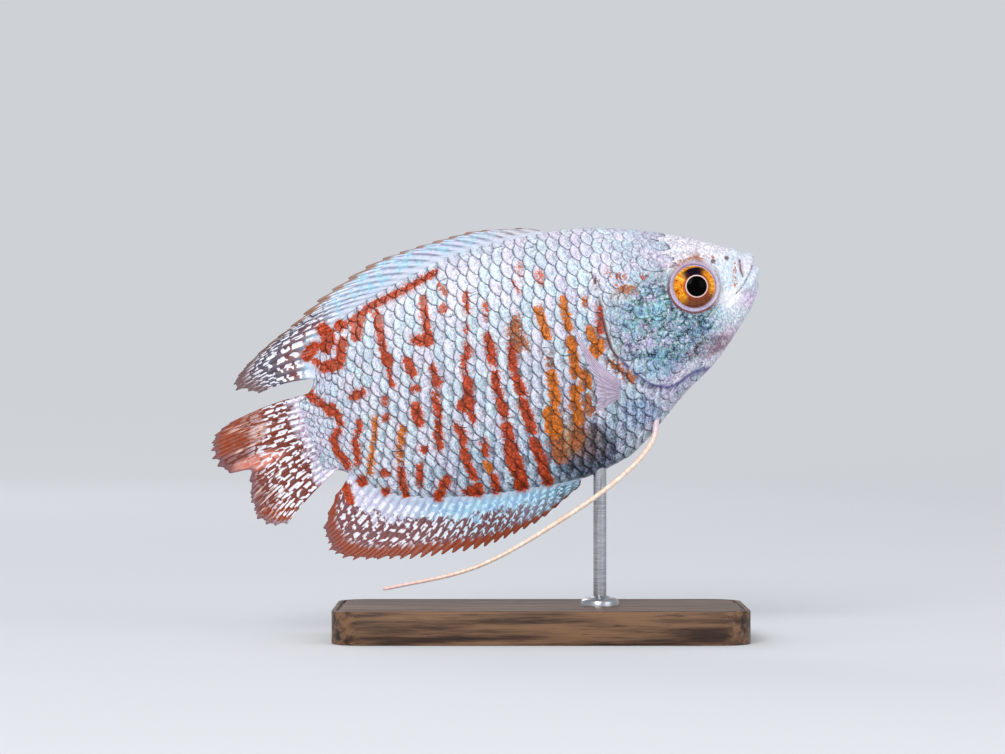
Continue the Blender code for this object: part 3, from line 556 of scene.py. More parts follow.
def closed_sheet(name, middle, half, normals):
    """A thin closed sheet round a grid of middle points. Its second layer's points follow the first's."""
    made = start_grid(name, middle.shape[0], middle.shape[1])
    set_points(made, middle)
    double_up(made)
    count = middle.shape[0] * middle.shape[1]
    laid = get_points(made)
    if len(laid) != 2 * count or not np.allclose(laid[:count], laid[count:], atol=1e-5):
        raise RuntimeError(f"{name}: the second layer's points don't follow the first's")
    offset = (half[..., None] * normals).reshape(-1, 3)
    flat = middle.reshape(-1, 3)
    set_points(made, np.concatenate([flat + offset, flat - offset]))
    close_up(made, fill=False)
    return made


def tube_rings(path, sides):
    """Rings of points round a path of (x, y, z, radius) rows."""
    places, radii = path[:, :3], path[:, 3]
    along = np.gradient(places, axis=0)
    along /= np.linalg.norm(along, axis=1)[:, None]
    across = np.cross(along[0], (0.0, 0.0, 1.0))
    turns = np.linspace(0, 2 * np.pi, sides, endpoint=False)
    rings = []
    for place, radius, run in zip(places, radii, along):
        across = across - run * (across @ run)
        across /= np.linalg.norm(across)
        other = np.cross(run, across)
        rings.append(place + radius * (np.cos(turns)[:, None] * across + np.sin(turns)[:, None] * other))
    return np.array(rings)


def apply_modifier(obj, kind, **settings):
    modifier = obj.modifiers.new(kind.lower(), kind)
    for name, value in settings.items():
        setattr(modifier, name, value)
    only(obj)
    bpy.ops.object.modifier_apply(modifier=modifier.name)


def add_attribute(obj, name, kind, values):
    """Gives each point of the mesh a value, a vector or a colour."""
    layer = obj.data.attributes.new(name=name, type=kind, domain="POINT")
    key = {"FLOAT": "value", "FLOAT_VECTOR": "vector", "FLOAT_COLOR": "color"}[kind]
    layer.data.foreach_set(key, np.asarray(values, float).reshape(-1))


def side_places(points):
    """(behind, height) of points in the fish frame."""
    return np.stack([-points[..., 0], points[..., 2]], axis=-1)


def settle(obj, material, replaced, pose=POSE, sharp_from=None):
    """Sets the finished piece in the world frame, with its material and its place on the model."""
    if pose is not None:
        obj.data.transform(pose)
    obj.data.materials.clear()
    obj.data.materials.append(material)
    only(obj)
    bpy.ops.object.shade_smooth()
    if sharp_from is not None:
        bpy.ops.object.shade_smooth_by_angle(angle=math.radians(sharp_from))
    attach(obj, "root")
    if replaced:
        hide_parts(*replaced)


def lip_path(half):
    whole = [(-b, -a, h, r) for b, a, h, r in reversed(half[1:])]
    whole += [(-b, a, h, r) for b, a, h, r in half]
    through = smooth_through([(i, *p) for i, p in enumerate(whole)])
    return through(np.linspace(0, len(whole) - 1, 49))


def eye_frame(side):
    behind, aside, height = EYE_PLACE
    return Matrix.Translation((-behind, side * aside, height)) @ Matrix.Rotation(-side * EYE_TURN, 4, "Z")


def make_body_form(name):
    """Body, lips and eye rims as one closed surface, with the sockets of the eyes cut in."""
    sizes = bpy.context.scene.gourami_sizes
    share = 0.5 * (1 - np.cos(np.linspace(0, np.pi, 240)))
    behind = SNOUT_INSET + (SKIN_END - SNOUT_INSET) * share
    turns = np.linspace(0, 2 * np.pi, 180, endpoint=False)
    turns = np.where(turns > np.pi, turns - 2 * np.pi, turns)
    room = coat_room(behind, sizes.coat_depth, COAT_FADE)
    rings = ring_point(behind[:, None], turns[None, :], room[:, None])
    body = rolled_grid(name, rings)
    parts = [rolled_grid("lip", tube_rings(lip_path(half), 24)) for half in (UPPER_LIP, LOWER_LIP)]
    for side in (-1, 1):
        behind, _, height = EYE_PLACE
        radii = {"major_radius": RIM_RADIUS, "minor_radius": RIM_TUBE}
        rim = new_shape(
            "rim", bpy.ops.mesh.primitive_torus_add, major_segments=72, minor_segments=20, **radii
        )
        place = Matrix.Translation((-behind, side * (float(flank(behind, height)) - 0.15), height))
        rim.data.transform(
            place @ Matrix.Rotation(-side * EYE_TURN, 4, "Z") @ Matrix.Rotation(math.pi / 2, 4, "X")
        )
        parts.append(rim)
    bpy.ops.object.select_all(action="DESELECT")
    for part in [*parts, body]:
        part.select_set(True)
    bpy.context.view_layer.objects.active = body
    bpy.ops.object.join()
    apply_modifier(body, "REMESH", mode="VOXEL", voxel_size=sizes.skin_voxel)
    apply_modifier(body, "SMOOTH", factor=0.5, iterations=2)
    for side in (-1, 1):
        cutter = new_shape(
            "cutter", bpy.ops.mesh.primitive_uv_sphere_add, segments=64, ring_count=32, radius=1.0
        )
        room = [r + 0.07 for r in EYE_RADII]
        stretch = Matrix.Diagonal((*room, 1.0)) @ Matrix.Rotation(math.pi / 2, 4, "X")
        cutter.data.transform(eye_frame(side) @ stretch)
        apply_modifier(body, "BOOLEAN", operation="DIFFERENCE", solver="MANIFOLD", object=cutter)
        bpy.data.objects.remove(cutter)
    return body


def head_relief(points):
    """How far each point of the skin is raised or sunk by folds, nostrils and fine wrinkles."""
    places = side_places(points)
    raised = np.zeros(len(points))
    for depth, half, line in FOLDS:
        distance, _ = line_distance(places, line)
        raised -= depth * np.exp(-((distance / half) ** 2))
        raised += 0.22 * depth * np.exp(-(((distance - 2.4 * half) / (1.1 * half)) ** 2))
    for behind, height, radius in NOSTRILS:
        distance = np.linalg.norm(places - (behind, height), axis=1)
        raised -= 0.42 * smooth_step(1.25 - distance / radius)
        raised += 0.09 * np.exp(-(((distance - 1.45 * radius) / 0.14) ** 2))
    behind, height = places.T
    waves = np.sin(2.1 * behind + 1.7 * height) * np.sin(1.9 * height - 1.3 * behind + 2.0)
    waves += 0.6 * np.sin(4.7 * behind - 3.1 * height + 1.0) * np.sin(3.6 * height + 2.8 * behind)
    from_eye = np.linalg.norm(places - EYE_SIDE, axis=1)
    raised += 0.018 * waves * smooth_step((from_eye - 3.3) / 1.0)
    return raised * (np.abs(points[:, 1]) > 0.02)


def is_bare(places):
    """1 where the skin shows without scales: the snout, the jaws and round the eyes."""
    behind, height = places.T
    snout = smooth_step((6.6 + 0.30 * height - behind) / 1.2)
    jaw_line = -2.4 - 0.66 * (behind - 6.5)
    jaw = smooth_step((jaw_line - height) / 0.8) * smooth_step((15.5 - behind) / 2.0)
    crown = smooth_step((10.8 - behind) / 1.0) * smooth_step((height - 1.8) / 0.8)
    eye = smooth_step((4.0 - np.linalg.norm(places - EYE_SIDE, axis=1)) / 0.5)
    ahead = ahead_of_gill_edge(places)
    rim = smooth_step((0.46 - np.abs(ahead - 0.14)) / 0.2) * smooth_step((5.5 - height) / 1.5)
    end = smooth_step((behind - 56.3) / 0.6)
    return np.max([snout, jaw, crown, eye, rim, end], axis=0)


def gill_border(places):
    """1 along the hind and lower edge of the gill cover, fading to 0 beside it."""
    wide = 0.22 + 0.1 * smooth_step((places[:, 1] + 4.0) / 3.0)
    return np.exp(-((ahead_of_gill_edge(places) / wide) ** 2)) * smooth_step((4.5 - places[:, 1]) / 2.0)


def make_skin():
    skin = make_body_form("skin")
    points = get_points(skin)
    places = side_places(points)
    behind = places[:, 0]
    wide = np.maximum(half_width(behind), 0.5)
    inside = smooth_step(0.5 + ahead_of_gill_edge(places) / 0.24)
    side_share = np.clip(np.abs(points[:, 1]) / wide, 0.0, 1.0)
    points[:, 1] += np.sign(points[:, 1]) * cover_lift(behind, places[:, 1]) * inside * side_share**2
    set_points(skin, points)
    points += get_normals(skin) * head_relief(points)[:, None]
    set_points(skin, points)
    flank_group = skin.vertex_groups.new(name="flank")
    hidden = np.where((behind > 24.0) | ((behind > 20.8) & (ahead_of_gill_edge(places) < -0.8)))[0]
    flank_group.add([int(i) for i in hidden], 1.0, "REPLACE")
    faces = sum(len(p.vertices) - 2 for p in skin.data.polygons)
    if faces > SKIN_FACES:
        apply_modifier(
            skin, "DECIMATE", ratio=SKIN_FACES / faces, vertex_group="flank", vertex_group_factor=1.0
        )
    skin.vertex_groups.clear()
    close_up(skin, fill=False)
    points = get_points(skin)
    places = side_places(points)
    add_attribute(skin, "marks", "FLOAT_COLOR", mark_strengths(places))
    add_attribute(skin, "bare", "FLOAT", is_bare(places))
    add_attribute(skin, "edge", "FLOAT", gill_border(places))
    settle(skin, make_skin_material(), ("head", "trunk", "tail_stalk"))


# A scale's length in pitches, half its width in rows, and its thickness in millimetres
SCALE_LENGTH = 2.15
SCALE_HALF = 0.9
SCALE_THICK = 0.025
# Shares of a scale's length from its root: where its place is judged, and where its colour is taken
SCALE_JUDGED = 0.72
SCALE_COLOURED = 0.74

TABLE_BEHIND = np.linspace(0.6, SKIN_END, 260)
TABLE_TURN = np.linspace(0.0, np.pi, 201)
TABLE_FRACTION = np.linspace(0.0, 1.0, 161)


class Girth:
    """Places on the skin by the distance behind the snout and the share of the way from back to belly."""

    def __init__(self, depth):
        self.depth = depth
        rings = ring_point(
            TABLE_BEHIND[:, None], TABLE_TURN[None, :], coat_room(TABLE_BEHIND, depth)[:, None]
        )
        steps = np.linalg.norm(np.diff(rings[..., 1:], axis=1), axis=2)
        arcs = np.concatenate([np.zeros((len(steps), 1)), np.cumsum(steps, axis=1)], axis=1)
        self.turns = np.array([np.interp(TABLE_FRACTION * arc[-1], arc, TABLE_TURN) for arc in arcs])
        self.arc = arcs[:, -1]

    def length(self, behind):
        return np.interp(behind, TABLE_BEHIND, self.arc)

    def turn(self, behind, fraction):
        step = TABLE_BEHIND[1] - TABLE_BEHIND[0]
        x = np.clip((behind - TABLE_BEHIND[0]) / step, 0, len(TABLE_BEHIND) - 1.001)
        y = np.clip(fraction, 0, 1) * (len(TABLE_FRACTION) - 1.001)
        i, j = x.astype(int), y.astype(int)
        u, v = x - i, y - j
        near = self.turns[i, j] * (1 - v) + self.turns[i, j + 1] * v
        far = self.turns[i + 1, j] * (1 - v) + self.turns[i + 1, j + 1] * v
        return near * (1 - u) + far * u

    def place(self, behind, fraction, side, lift=0.0):
        room = coat_room(behind, self.depth, COAT_FADE)
        return ring_point(behind, side * self.turn(behind, fraction), room, lift)

    def normal(self, behind, fraction, side, lift=0.0):
        backwards = self.place(behind + 0.1, fraction, side, lift) - self.place(
            behind - 0.1, fraction, side, lift
        )
        low, high = np.clip(fraction - 0.004, 0, 1), np.clip(fraction + 0.004, 0, 1)
        down = self.place(behind, high, side, lift) - self.place(behind, low, side, lift)
        out = np.cross(backwards, down)
        out /= np.maximum(np.linalg.norm(out, axis=-1), 1e-9)[..., None]
        middle = np.stack([-behind, 0 * behind, widest_level(behind)], axis=-1)
        facing = np.sum(out * (self.place(behind, fraction, side, lift) - middle), axis=-1)
        return out * np.where(facing < 0, -1.0, 1.0)[..., None]

    def fraction(self, behind, height):
        """Share of the way from back to belly of a place in the side view."""
        level = widest_level(behind)
        reach = np.where(height > level, back(behind) - level, level - belly(behind))
        turn = np.arccos(np.clip((height - level) / reach, -1, 1))
        step = TABLE_BEHIND[1] - TABLE_BEHIND[0]
        rows = np.clip(((behind - TABLE_BEHIND[0]) / step).astype(int), 0, len(TABLE_BEHIND) - 1)
        return np.array([np.interp(t, self.turns[i], TABLE_FRACTION) for t, i in zip(turn, rows)])


def make_master_scale():
    """One scale as a lens: points at (along, across, layer), and the faces that join them."""
    along = np.array([0.0, 0.36, 0.66, 0.88, 1.0])
    across = np.linspace(-1, 1, 7)
    middle = np.stack(np.meshgrid(along, across, [0.0], indexing="ij"), axis=-1)[:, :, 0]
    grid = start_grid("scale", len(along), len(across))
    set_points(grid, middle)
    double_up(grid)
    points = get_points(grid)
    half = len(points) // 2
    inner = (points[:, 0] > 0.01) & (points[:, 0] < 0.99) & (np.abs(points[:, 1]) < 0.99)
    inner[:half] = False
    points[inner, 2] = -1.0
    set_points(grid, points)
    close_up(grid, fill=False)
    points = get_points(grid)
    faces = [tuple(p.vertices) for p in grid.data.polygons]
    normals = [p.normal.z for p in grid.data.polygons]
    layers = [min(points[list(f), 2]) for f in faces]
    if np.mean([n for n, layer in zip(normals, layers) if layer > -0.5]) < 0:
        faces = [tuple(reversed(f)) for f in faces]
    bpy.data.objects.remove(grid)
    return points, faces


def row_places(pitch):
    """Distances behind the snout of the scales of a row, closer together at both ends of the body."""
    places = [6.0]
    while places[-1] < 58.6:
        at = places[-1]
        front = 0.72 + 0.28 * smooth_step((at - 8.0) / 13.0)
        places.append(at + pitch * (front - 0.2 * smooth_step((at - 42.0) / 12.0)))
    return np.array(places)


def body_scales(girth, sizes, draw):
    """Roots, directions and sizes of the scales in rows along the body: rows of (behind, fraction, turn,
    length, half width, lift, calm)."""
    found = []
    places = row_places(sizes.scale_pitch)
    steps = np.arange(len(places))
    for row in range(sizes.scale_rows):
        fraction = (row + 0.5) / sizes.scale_rows
        for step in steps[:-1]:
            behind = float(np.interp(step + 0.5 * (row % 2) + draw.normal(0, 0.03), steps, places))
            pitch = float(np.interp(behind, places[:-1], np.diff(places)))
            room = float(girth.length(behind)) / sizes.scale_rows
            length, half = SCALE_LENGTH * pitch, SCALE_HALF * room
            if half < 0.2:
                continue
            centre = np.array([behind + SCALE_JUDGED * length])
            spot = girth.place(centre, np.array([fraction]), 1)[0]
            place = np.array([[-spot[0], spot[2]]])
            ahead = float(ahead_of_gill_edge(place)[0])
            rim = is_bare(place)[0]
            if rim > 0.5 and place[0, 0] < 55.0 and not -1.2 < ahead < 0.12:
                continue
            if ahead > 0.2 and (place[0, 1] < 3.6 + 0.12 * (19 - place[0, 0])):
                continue
            if ahead > 0.2:
                length = min(length, SCALE_JUDGED * length + ahead + 0.2)
            lift = float(cover_lift(centre, place[:, 1])[0]) if ahead > 0.2 else 0.0
            calm = max(smooth_step((19.0 - behind) / 9.0), 0.6 * smooth_step((behind - 49.0) / 5.0))
            found.append((behind, fraction, draw.normal(0, 0.05), length, half, lift, calm))
    return found


def cheek_scales(girth, draw):
    """Roots of the cheek's and the gill cover's scales, large behind and small under the eye."""
    found = []
    lattices = (
        (1.85, 1.55, (9.6, 20.5), (-10.0, 4.6), False), (1.1, 0.98, (6.4, 12.6), (-7.6, -1.0), True)
    )
    for pitch, drop, (front, rear), (low, high), fine in lattices:
        for row in range(int((high - low) / drop) + 1):
            for step in range(int((rear - front) / pitch) + 1):
                jitter = 0.14 * pitch
                behind = front + pitch * (step + 0.5 * (row % 2)) + draw.normal(0, jitter)
                height = high - drop * row + draw.normal(0, jitter)
                place = np.array([[behind, height]])
                ahead = float(ahead_of_gill_edge(place)[0])
                under_eye = behind < 12.2 and height < -1.5
                if fine != under_eye or ahead < 0.9 or is_bare(place)[0] > 0.4:
                    continue
                if height < float(belly(behind)) + 1.0:
                    continue
                away = np.array([behind - EYE_PLACE[0], EYE_PLACE[2] - height])
                away = away / np.linalg.norm(away) * 0.45 + np.array([0.75, 0.1])
                turn = math.atan2(away[1], away[0]) + draw.normal(0, 0.12)
                size = draw.uniform(0.9, 1.2)
                length = min(1.55 * pitch * size, 0.62 * pitch + ahead - 0.4)
                root = behind - 0.62 * pitch * math.cos(turn)
                fraction = float(girth.fraction(np.array([root]), np.array([height]))[0])
                lift = float(cover_lift(np.array([behind]), np.array([height]))[0])
                found.append((root, fraction, turn, length, 0.66 * drop * size + 0.12, lift, 0.85))
    return found


def skin_heights(points, normals):
    """How far the finished skin lies above each of these places, along its normal."""
    skin = bpy.data.objects["skin"]
    turn = POSE.to_3x3().normalized()
    found = np.zeros(len(points))
    for index, (point, normal) in enumerate(zip(points, normals)):
        normal = Vector(normal)
        hit, place, _, _ = skin.ray_cast(
            POSE @ (Vector(point) + 1.2 * normal), -(turn @ normal), distance=0.0024
        )
        if hit:
            found[index] = (POSE.inverted() @ place - Vector(point)) @ normal
    return np.clip(found, -0.3, 0.6)


def make_scales_side(side, name):
    """All the scales of one flank as one mesh."""
    sizes = bpy.context.scene.gourami_sizes
    girth = Girth(sizes.coat_depth)
    draw = np.random.default_rng(11 if side > 0 else 12)
    master, master_faces = make_master_scale()
    scales = np.array(body_scales(girth, sizes, draw) + cheek_scales(girth, draw))
    count, size = len(scales), len(master)
    behind, fraction, turn, length, half, lift, calm = (c[:, None] for c in scales.T)
    turn = turn + draw.normal(0, 0.03, (count, 1))
    length = length * draw.uniform(0.96, 1.05, (count, 1))
    chance = draw.uniform(0, 1, (count, 1)) * np.ones((1, size))
    a, c, layer = master.T
    spread = 1.2
    end_along = 1 - 0.36 * (1 - np.cos(c * spread)) / (1 - np.cos(spread))
    end_across = np.sin(c * spread) / np.sin(spread)
    blend = smooth_step(a * 1.5)
    along = a * end_along
    across = 0.66 * c * (1 - blend) + end_across * blend * (1 - 0.06 * a)
    run, drop = length * along, half * across
    at = behind + run * np.cos(turn) - drop * np.sin(turn)
    shift = run * np.sin(turn) + drop * np.cos(turn)
    share = np.clip(fraction + shift / girth.length(at), 0.0, 1.0)
    at = np.clip(at, 1.0, SKIN_END)
    tilt = draw.normal(0, 0.012, (count, 1))
    rise = sizes.scale_rise * (0.75 + 0.25 * smooth_step((behind - 12.0) / 8.0))
    rise = rise * (1 - 0.6 * calm)
    bowl = 0.028 * np.clip(half, 0.3, 1.2) * c**2 * (0.4 + 0.6 * a)
    height = -0.03 * (1 - calm) + rise * a - bowl + tilt * c
    height = height + layer * SCALE_THICK
    lifts = lift * np.ones((1, size))
    surface = girth.place(at, share, side, lifts)
    normals = girth.normal(at, share, side, lifts)
    near = (calm[:, 0] > 0.05) | (lift[:, 0] > 0.01)
    count_near = int(near.sum()) * size
    found = skin_heights(surface[near].reshape(count_near, 3), normals[near].reshape(count_near, 3))
    height[near] += found.reshape(-1, size)
    points = surface + normals * height[..., None]
    onward = SCALE_COLOURED * length[:, 0]
    middle = behind[:, 0] + onward * np.cos(turn[:, 0])
    aslant = onward * np.sin(turn[:, 0]) / girth.length(middle)
    spot = girth.place(middle, fraction[:, 0] + aslant, side)
    centre = side_places(spot)[:, None, :]
    own = side_places(points)
    mark_places = (own + 0.15 * centre) / 1.15
    faces = np.array(master_faces)
    if side < 0:
        faces = faces[:, ::-1]
    all_faces = (faces[None] + (np.arange(count) * size)[:, None, None]).reshape(-1, faces.shape[1])
    mesh = bpy.data.meshes.new(name)
    mesh.from_pydata(points.reshape(-1, 3), [], all_faces)
    coat = bpy.data.objects.new(name, mesh)
    bpy.context.scene.collection.objects.link(coat)
    blade = np.stack([c[None] * np.ones((count, 1)), a[None] * np.ones((count, 1)), chance], axis=-1)
    add_attribute(coat, "blade", "FLOAT_VECTOR", blade)
    add_attribute(coat, "marks", "FLOAT_COLOR", mark_strengths(mark_places.reshape(-1, 2)))
    add_attribute(coat, "calm", "FLOAT", calm * np.ones((1, size)))
    add_attribute(coat, "edge", "FLOAT", gill_border(own.reshape(-1, 2)))
    under = np.min(layer[faces], axis=1) < -0.5
    u = 0.02 + 0.96 * (behind[:, 0] - 4.0) / 56.0
    v = 0.02 + 0.96 * fraction[:, 0]
    local_u = np.where(under[:, None], 0.0009 + 0.0005 * c[faces], -0.0005 + 0.0008 * c[faces])
    local_v = 0.0014 * (2 * a[faces] - 1)
    chart = np.stack([u[:, None, None] + local_u[None], v[:, None, None] + local_v[None]], axis=-1)
    layer_uv = mesh.uv_layers.new(name="OFBake")
    layer_uv.uv.foreach_set("vector", chart.reshape(-1))
    return coat


def outline_root(line, start, end):
    """A function from 0..1 to the (behind, height) of a fin's root on the body's outline."""
    places = LENGTH * np.linspace(start, end, 241)
    edge = np.stack([places, line(places)], axis=1)
    run = np.concatenate([[0.0], np.cumsum(np.linalg.norm(np.diff(edge, axis=0), axis=1))])
    return lambda share: np.stack([np.interp(share * run[-1], run, edge[:, k]) for k in (0, 1)], axis=-1)


def ray_profile(place, along, branch_from):
    """1 on a ray and 0 midway between two. Past branch_from each ray is forked."""
    single = 0.5 + 0.5 * np.cos(2 * np.pi * place)
    forked = 0.5 + 0.5 * np.cos(4 * np.pi * place + np.pi)
    fork = smooth_step((along - branch_from) / 0.2)
    return single * (1 - fork) + (0.75 * forked + 0.15 * single) * fork


def fin_half(place, along, branch_from, ray_half, membrane_half):
    taper = 1 - 0.62 * smooth_step(along)
    ridge = ray_profile(place, along, branch_from) ** 1.4
    grown = 0.18 * np.clip(1 - along / 0.14, 0, 1) ** 2
    return taper * (membrane_half + (ray_half - membrane_half) * ridge) + grown


def fan_reach(share, rays, spines, notch, draw):
    """How much of each column's length the membrane reaches: all of it on a ray, less between rays."""
    place = share * (rays - 1)
    spiny = smooth_step((spines + 0.5 - place) / 1.5)
    between = np.sin(np.pi * place) ** 2
    forked = np.sin(2 * np.pi * place) ** 2
    frayed = np.clip(draw.normal(0.35, 0.3, len(share)), 0, 1)
    uneven = np.interp(place, np.arange(0, rays, 0.5), draw.uniform(0, 0.55, 2 * rays))
    hard = 1.5 * notch * between**1.3
    soft = 0.5 * notch * between + notch * (0.35 * forked + 0.5 * frayed * between + uneven)
    return 1 - spiny * hard - (1 - spiny) * soft


def make_rayed_sheet(name, columns, place, steps, half_at):
    """A fin from its columns of middle points, with the ray, the share along it and the share of the root."""
    middle = np.stack(columns, axis=1)
    down, out = np.gradient(middle, axis=0), np.gradient(middle, axis=1)
    normals = np.cross(down, out)
    normals /= np.maximum(np.linalg.norm(normals, axis=2), 1e-9)[..., None]
    places = place[:, None] * np.ones((1, len(steps)))
    along = np.clip(steps, 0, 1)[None, :] * np.ones((len(place), 1))
    fin = closed_sheet(name, middle, half_at(places, along), normals)
    rays_data = np.stack([places, along, places / place[-1]], axis=-1).reshape(-1, 3)
    add_attribute(fin, "ray", "FLOAT_VECTOR", np.concatenate([rays_data, rays_data]))
    return fin


def make_fan(name, root, margin_points, rays, spines, sway, bow, notch, branch_from, rows, sink, seed):
    """An upright fin in the middle plane, with its rays raised on both faces of a thin membrane."""
    sizes = bpy.context.scene.gourami_sizes
    draw = np.random.default_rng(seed)
    share = np.linspace(0, 1, (rays - 1) * RAY_COLUMNS + 1)
    reach = fan_reach(share, rays, spines, notch, draw)
    start = root(share)
    chord = LENGTH * smooth_through(margin_points)(share) - start
    across = np.stack([-chord[:, 1], chord[:, 0]], axis=1)
    outward = chord + across * bow * np.pi
    outward /= np.linalg.norm(outward, axis=1)[:, None]
    steps = np.linspace(0, 1, rows)
    steps = np.concatenate([[-1.0, -0.5], steps])
    columns = []
    for step in steps:
        if step < 0:
            flat = start + outward * step * sink
            aside = 0 * share
        else:
            along = step * reach
            flat = start + chord * along[:, None] + across * (bow * np.sin(np.pi * along))[:, None]
            aside = sway(share, along)
        columns.append(np.stack([-flat[:, 0], aside, flat[:, 1]], axis=1))

    def half_at(places, along):
        forked = np.where(places < spines - 0.5, 2.0, branch_from)
        return fin_half(places, along, forked, sizes.ray_half, sizes.membrane_half)

    fan = make_rayed_sheet(name, columns, share * (rays - 1), steps, half_at)
    add_attribute(fan, "marks", "FLOAT_COLOR", mark_strengths(side_places(get_points(fan))))
    return fan


def dorsal_sway(share, along):
    return 0.5 * np.sin(5.0 * share) * along**2


def anal_sway(share, along):
    return 0.6 * np.sin(6.0 * share + 1.0) * along**2


def tail_sway(share, along):
    pleat = TAIL_PLEAT * np.exp(-(((share - 0.5) / 0.07) ** 2))
    return (TAIL_SWEEP * (0.5 - share) + pleat) * along**2


def tail_root(share):
    half = TAIL_ROOT_HALF * LENGTH
    return np.stack([LENGTH + 0.3 + 0 * share, half * (1 - 2 * share)], axis=-1)


def make_pectoral_sheet(side, name):
    sizes = bpy.context.scene.gourami_sizes
    rows = 34
    share = np.linspace(0, 1, (PECTORAL_RAYS - 1) * RAY_COLUMNS + 1)
    place = share * (PECTORAL_RAYS - 1)
    (top_behind, top_height), (low_behind, low_height) = PECTORAL_ROOT
    behind = top_behind + share * (low_behind - top_behind)
    height = top_height + share * (low_height - top_height)
    start = np.stack([behind, height, flank(behind, height)], axis=1)
    reach = smooth_through(PECTORAL_MARGIN)(share)
    reach = reach * (1 - 0.06 * np.sin(np.pi * place) ** 2)[:, None]
    longest = np.linalg.norm(reach, axis=1)[:, None]
    steps = np.concatenate([[-1.0], np.linspace(0, 1, rows)])
    columns = []
    for step in steps:
        if step < 0:
            spot = start - np.array([0.0, 0.0, PECTORAL_SINK])
        else:
            swing = math.sin(math.pi * step)
            spot = start + reach * step + PECTORAL_BOW * longest * swing * np.array([0.0, 0.0, 1.0])
            spot = spot + (PECTORAL_SAG * (1 - share) ** 2 * swing)[:, None] * np.array([0.6, -0.8, 0.0])
        columns.append(np.stack([-spot[:, 0], side * spot[:, 2], spot[:, 1]], axis=1))

    def half_at(places, along):
        return fin_half(places, along, 0.55, 0.62 * sizes.ray_half, 0.5 * sizes.membrane_half)

    return make_rayed_sheet(name, columns, place, steps, half_at)


def make_feeler_thread(side, route, name):
    """One long thread, stout at its root, that tapers to a fine rounded tip."""
    sizes = bpy.context.scene.gourami_sizes
    through = smooth_through([(i, b, a, h) for i, (b, a, h) in enumerate(route)])
    fine = through(np.linspace(0, len(route) - 1, 900))
    run = np.concatenate([[0.0], np.cumsum(np.linalg.norm(np.diff(fine, axis=0), axis=1))])
    share = np.concatenate([np.linspace(0, 0.985, 170), 1 - 0.015 * (1 - np.linspace(0.1, 1, 10)) ** 2])
    flat = np.stack([np.interp(share * run[-1], run, fine[:, k]) for k in range(3)], axis=1)
    radius = sizes.feeler_radius + (0.22 - sizes.feeler_radius) * smooth_step(share * 1.4 - 0.4)
    radius = radius + 0.07 * (1 - smooth_step(share / 0.08))
    radius = radius * (1 + 0.03 * np.sin(share * 260.0))
    radius = radius * np.sqrt(np.clip((1 - share) / 0.012, 0.004, 1.0))
    path = np.stack([-flat[:, 0], side * flat[:, 1], flat[:, 2], radius], axis=1)
    thread = rolled_grid(name, tube_rings(path, 14))
    points = get_points(thread)
    route_points = path[:, :3]
    nearest = np.array([np.argmin(np.sum((route_points - p) ** 2, axis=1)) for p in points])
    add_attribute(thread, "thread", "FLOAT", share[nearest])
    return thread


def make_eyeball(side, name):
    """An eyeball with a bulging pupil, a sunken iris and a rounded outer ring."""
    eye = new_shape(name, bpy.ops.mesh.primitive_uv_sphere_add, segments=96, ring_count=72, radius=1.0)
    eye.data.transform(Matrix.Rotation(-side * math.pi / 2, 4, "X"))
    points = get_points(eye)
    outward = points[:, 1] * side > 0
    points *= np.array(EYE_RADII)
    set_points(eye, points)
    eye.data.transform(eye_frame(side))
    points = get_points(eye)
    places = side_places(points)
    distance = np.linalg.norm(places - PUPIL, axis=1)
    raised = 0.10 * np.sqrt(np.clip(1 - (distance / 1.28) ** 2, 0, 1))
    raised -= 0.10 * np.exp(-(((distance - 1.75) / 0.32) ** 2))
    points[:, 1] += side * raised * outward
    set_points(eye, points)
    drop_charts(eye)
    return eye


def make_plinth(name):
    """A low wooden base with rounded corners, a stepped edge and a soft top edge."""
    plinth = new_shape(name, bpy.ops.mesh.primitive_cube_add, size=1.0)
    length, width, height = (1000 * s for s in BASE_SIZE)
    plinth.data.transform(
        Matrix.Translation((0, 0, height / 2)) @ Matrix.Diagonal((length, width, height, 1.0))
    )
    only(plinth)
    bpy.ops.object.mode_set(mode="EDIT")
    bpy.ops.mesh.select_mode(type="EDGE")
    bpy.ops.mesh.select_all(action="DESELECT")
    shape = bmesh.from_edit_mesh(plinth.data)
    for edge in shape.edges:
        edge.select = abs(edge.verts[0].co.z - edge.verts[1].co.z) > height / 2
    bmesh.update_edit_mesh(plinth.data)
    bpy.ops.mesh.bevel(offset=BASE_CORNER, segments=12, profile=0.5, affect="EDGES")
    for inset, rise in BASE_EDGE:
        shape = bmesh.from_edit_mesh(plinth.data)
        shape.faces.ensure_lookup_table()
        top = max((f for f in shape.faces if f.normal.z > 0.9), key=lambda f: f.calc_area())
        for item in (*shape.verts, *shape.edges, *shape.faces):
            item.select = False
        top.select = True
        shape.select_flush(True)
        bmesh.update_edit_mesh(plinth.data)
        bpy.ops.mesh.select_mode(type="FACE")
        if inset:
            bpy.ops.mesh.inset(thickness=inset, depth=0.0)
        else:
            bpy.ops.mesh.extrude_region_move(TRANSFORM_OT_translate={"value": (0.0, 0.0, rise)})
    bpy.ops.mesh.select_all(action="SELECT")
    bpy.ops.mesh.remove_doubles(threshold=0.001)
    bpy.ops.mesh.normals_make_consistent(inside=False)
    bpy.ops.object.mode_set(mode="OBJECT")
    apply_modifier(
        plinth, "BEVEL", width=0.14, segments=3, limit_method="ANGLE", angle_limit=math.radians(40)
    )
    plinth.data.transform(Matrix.Scale(0.001, 4))
    return plinth


def rod_foot():
    return POSE @ Vector((-ROD_BEHIND, 0.0, ROD_BELLY))


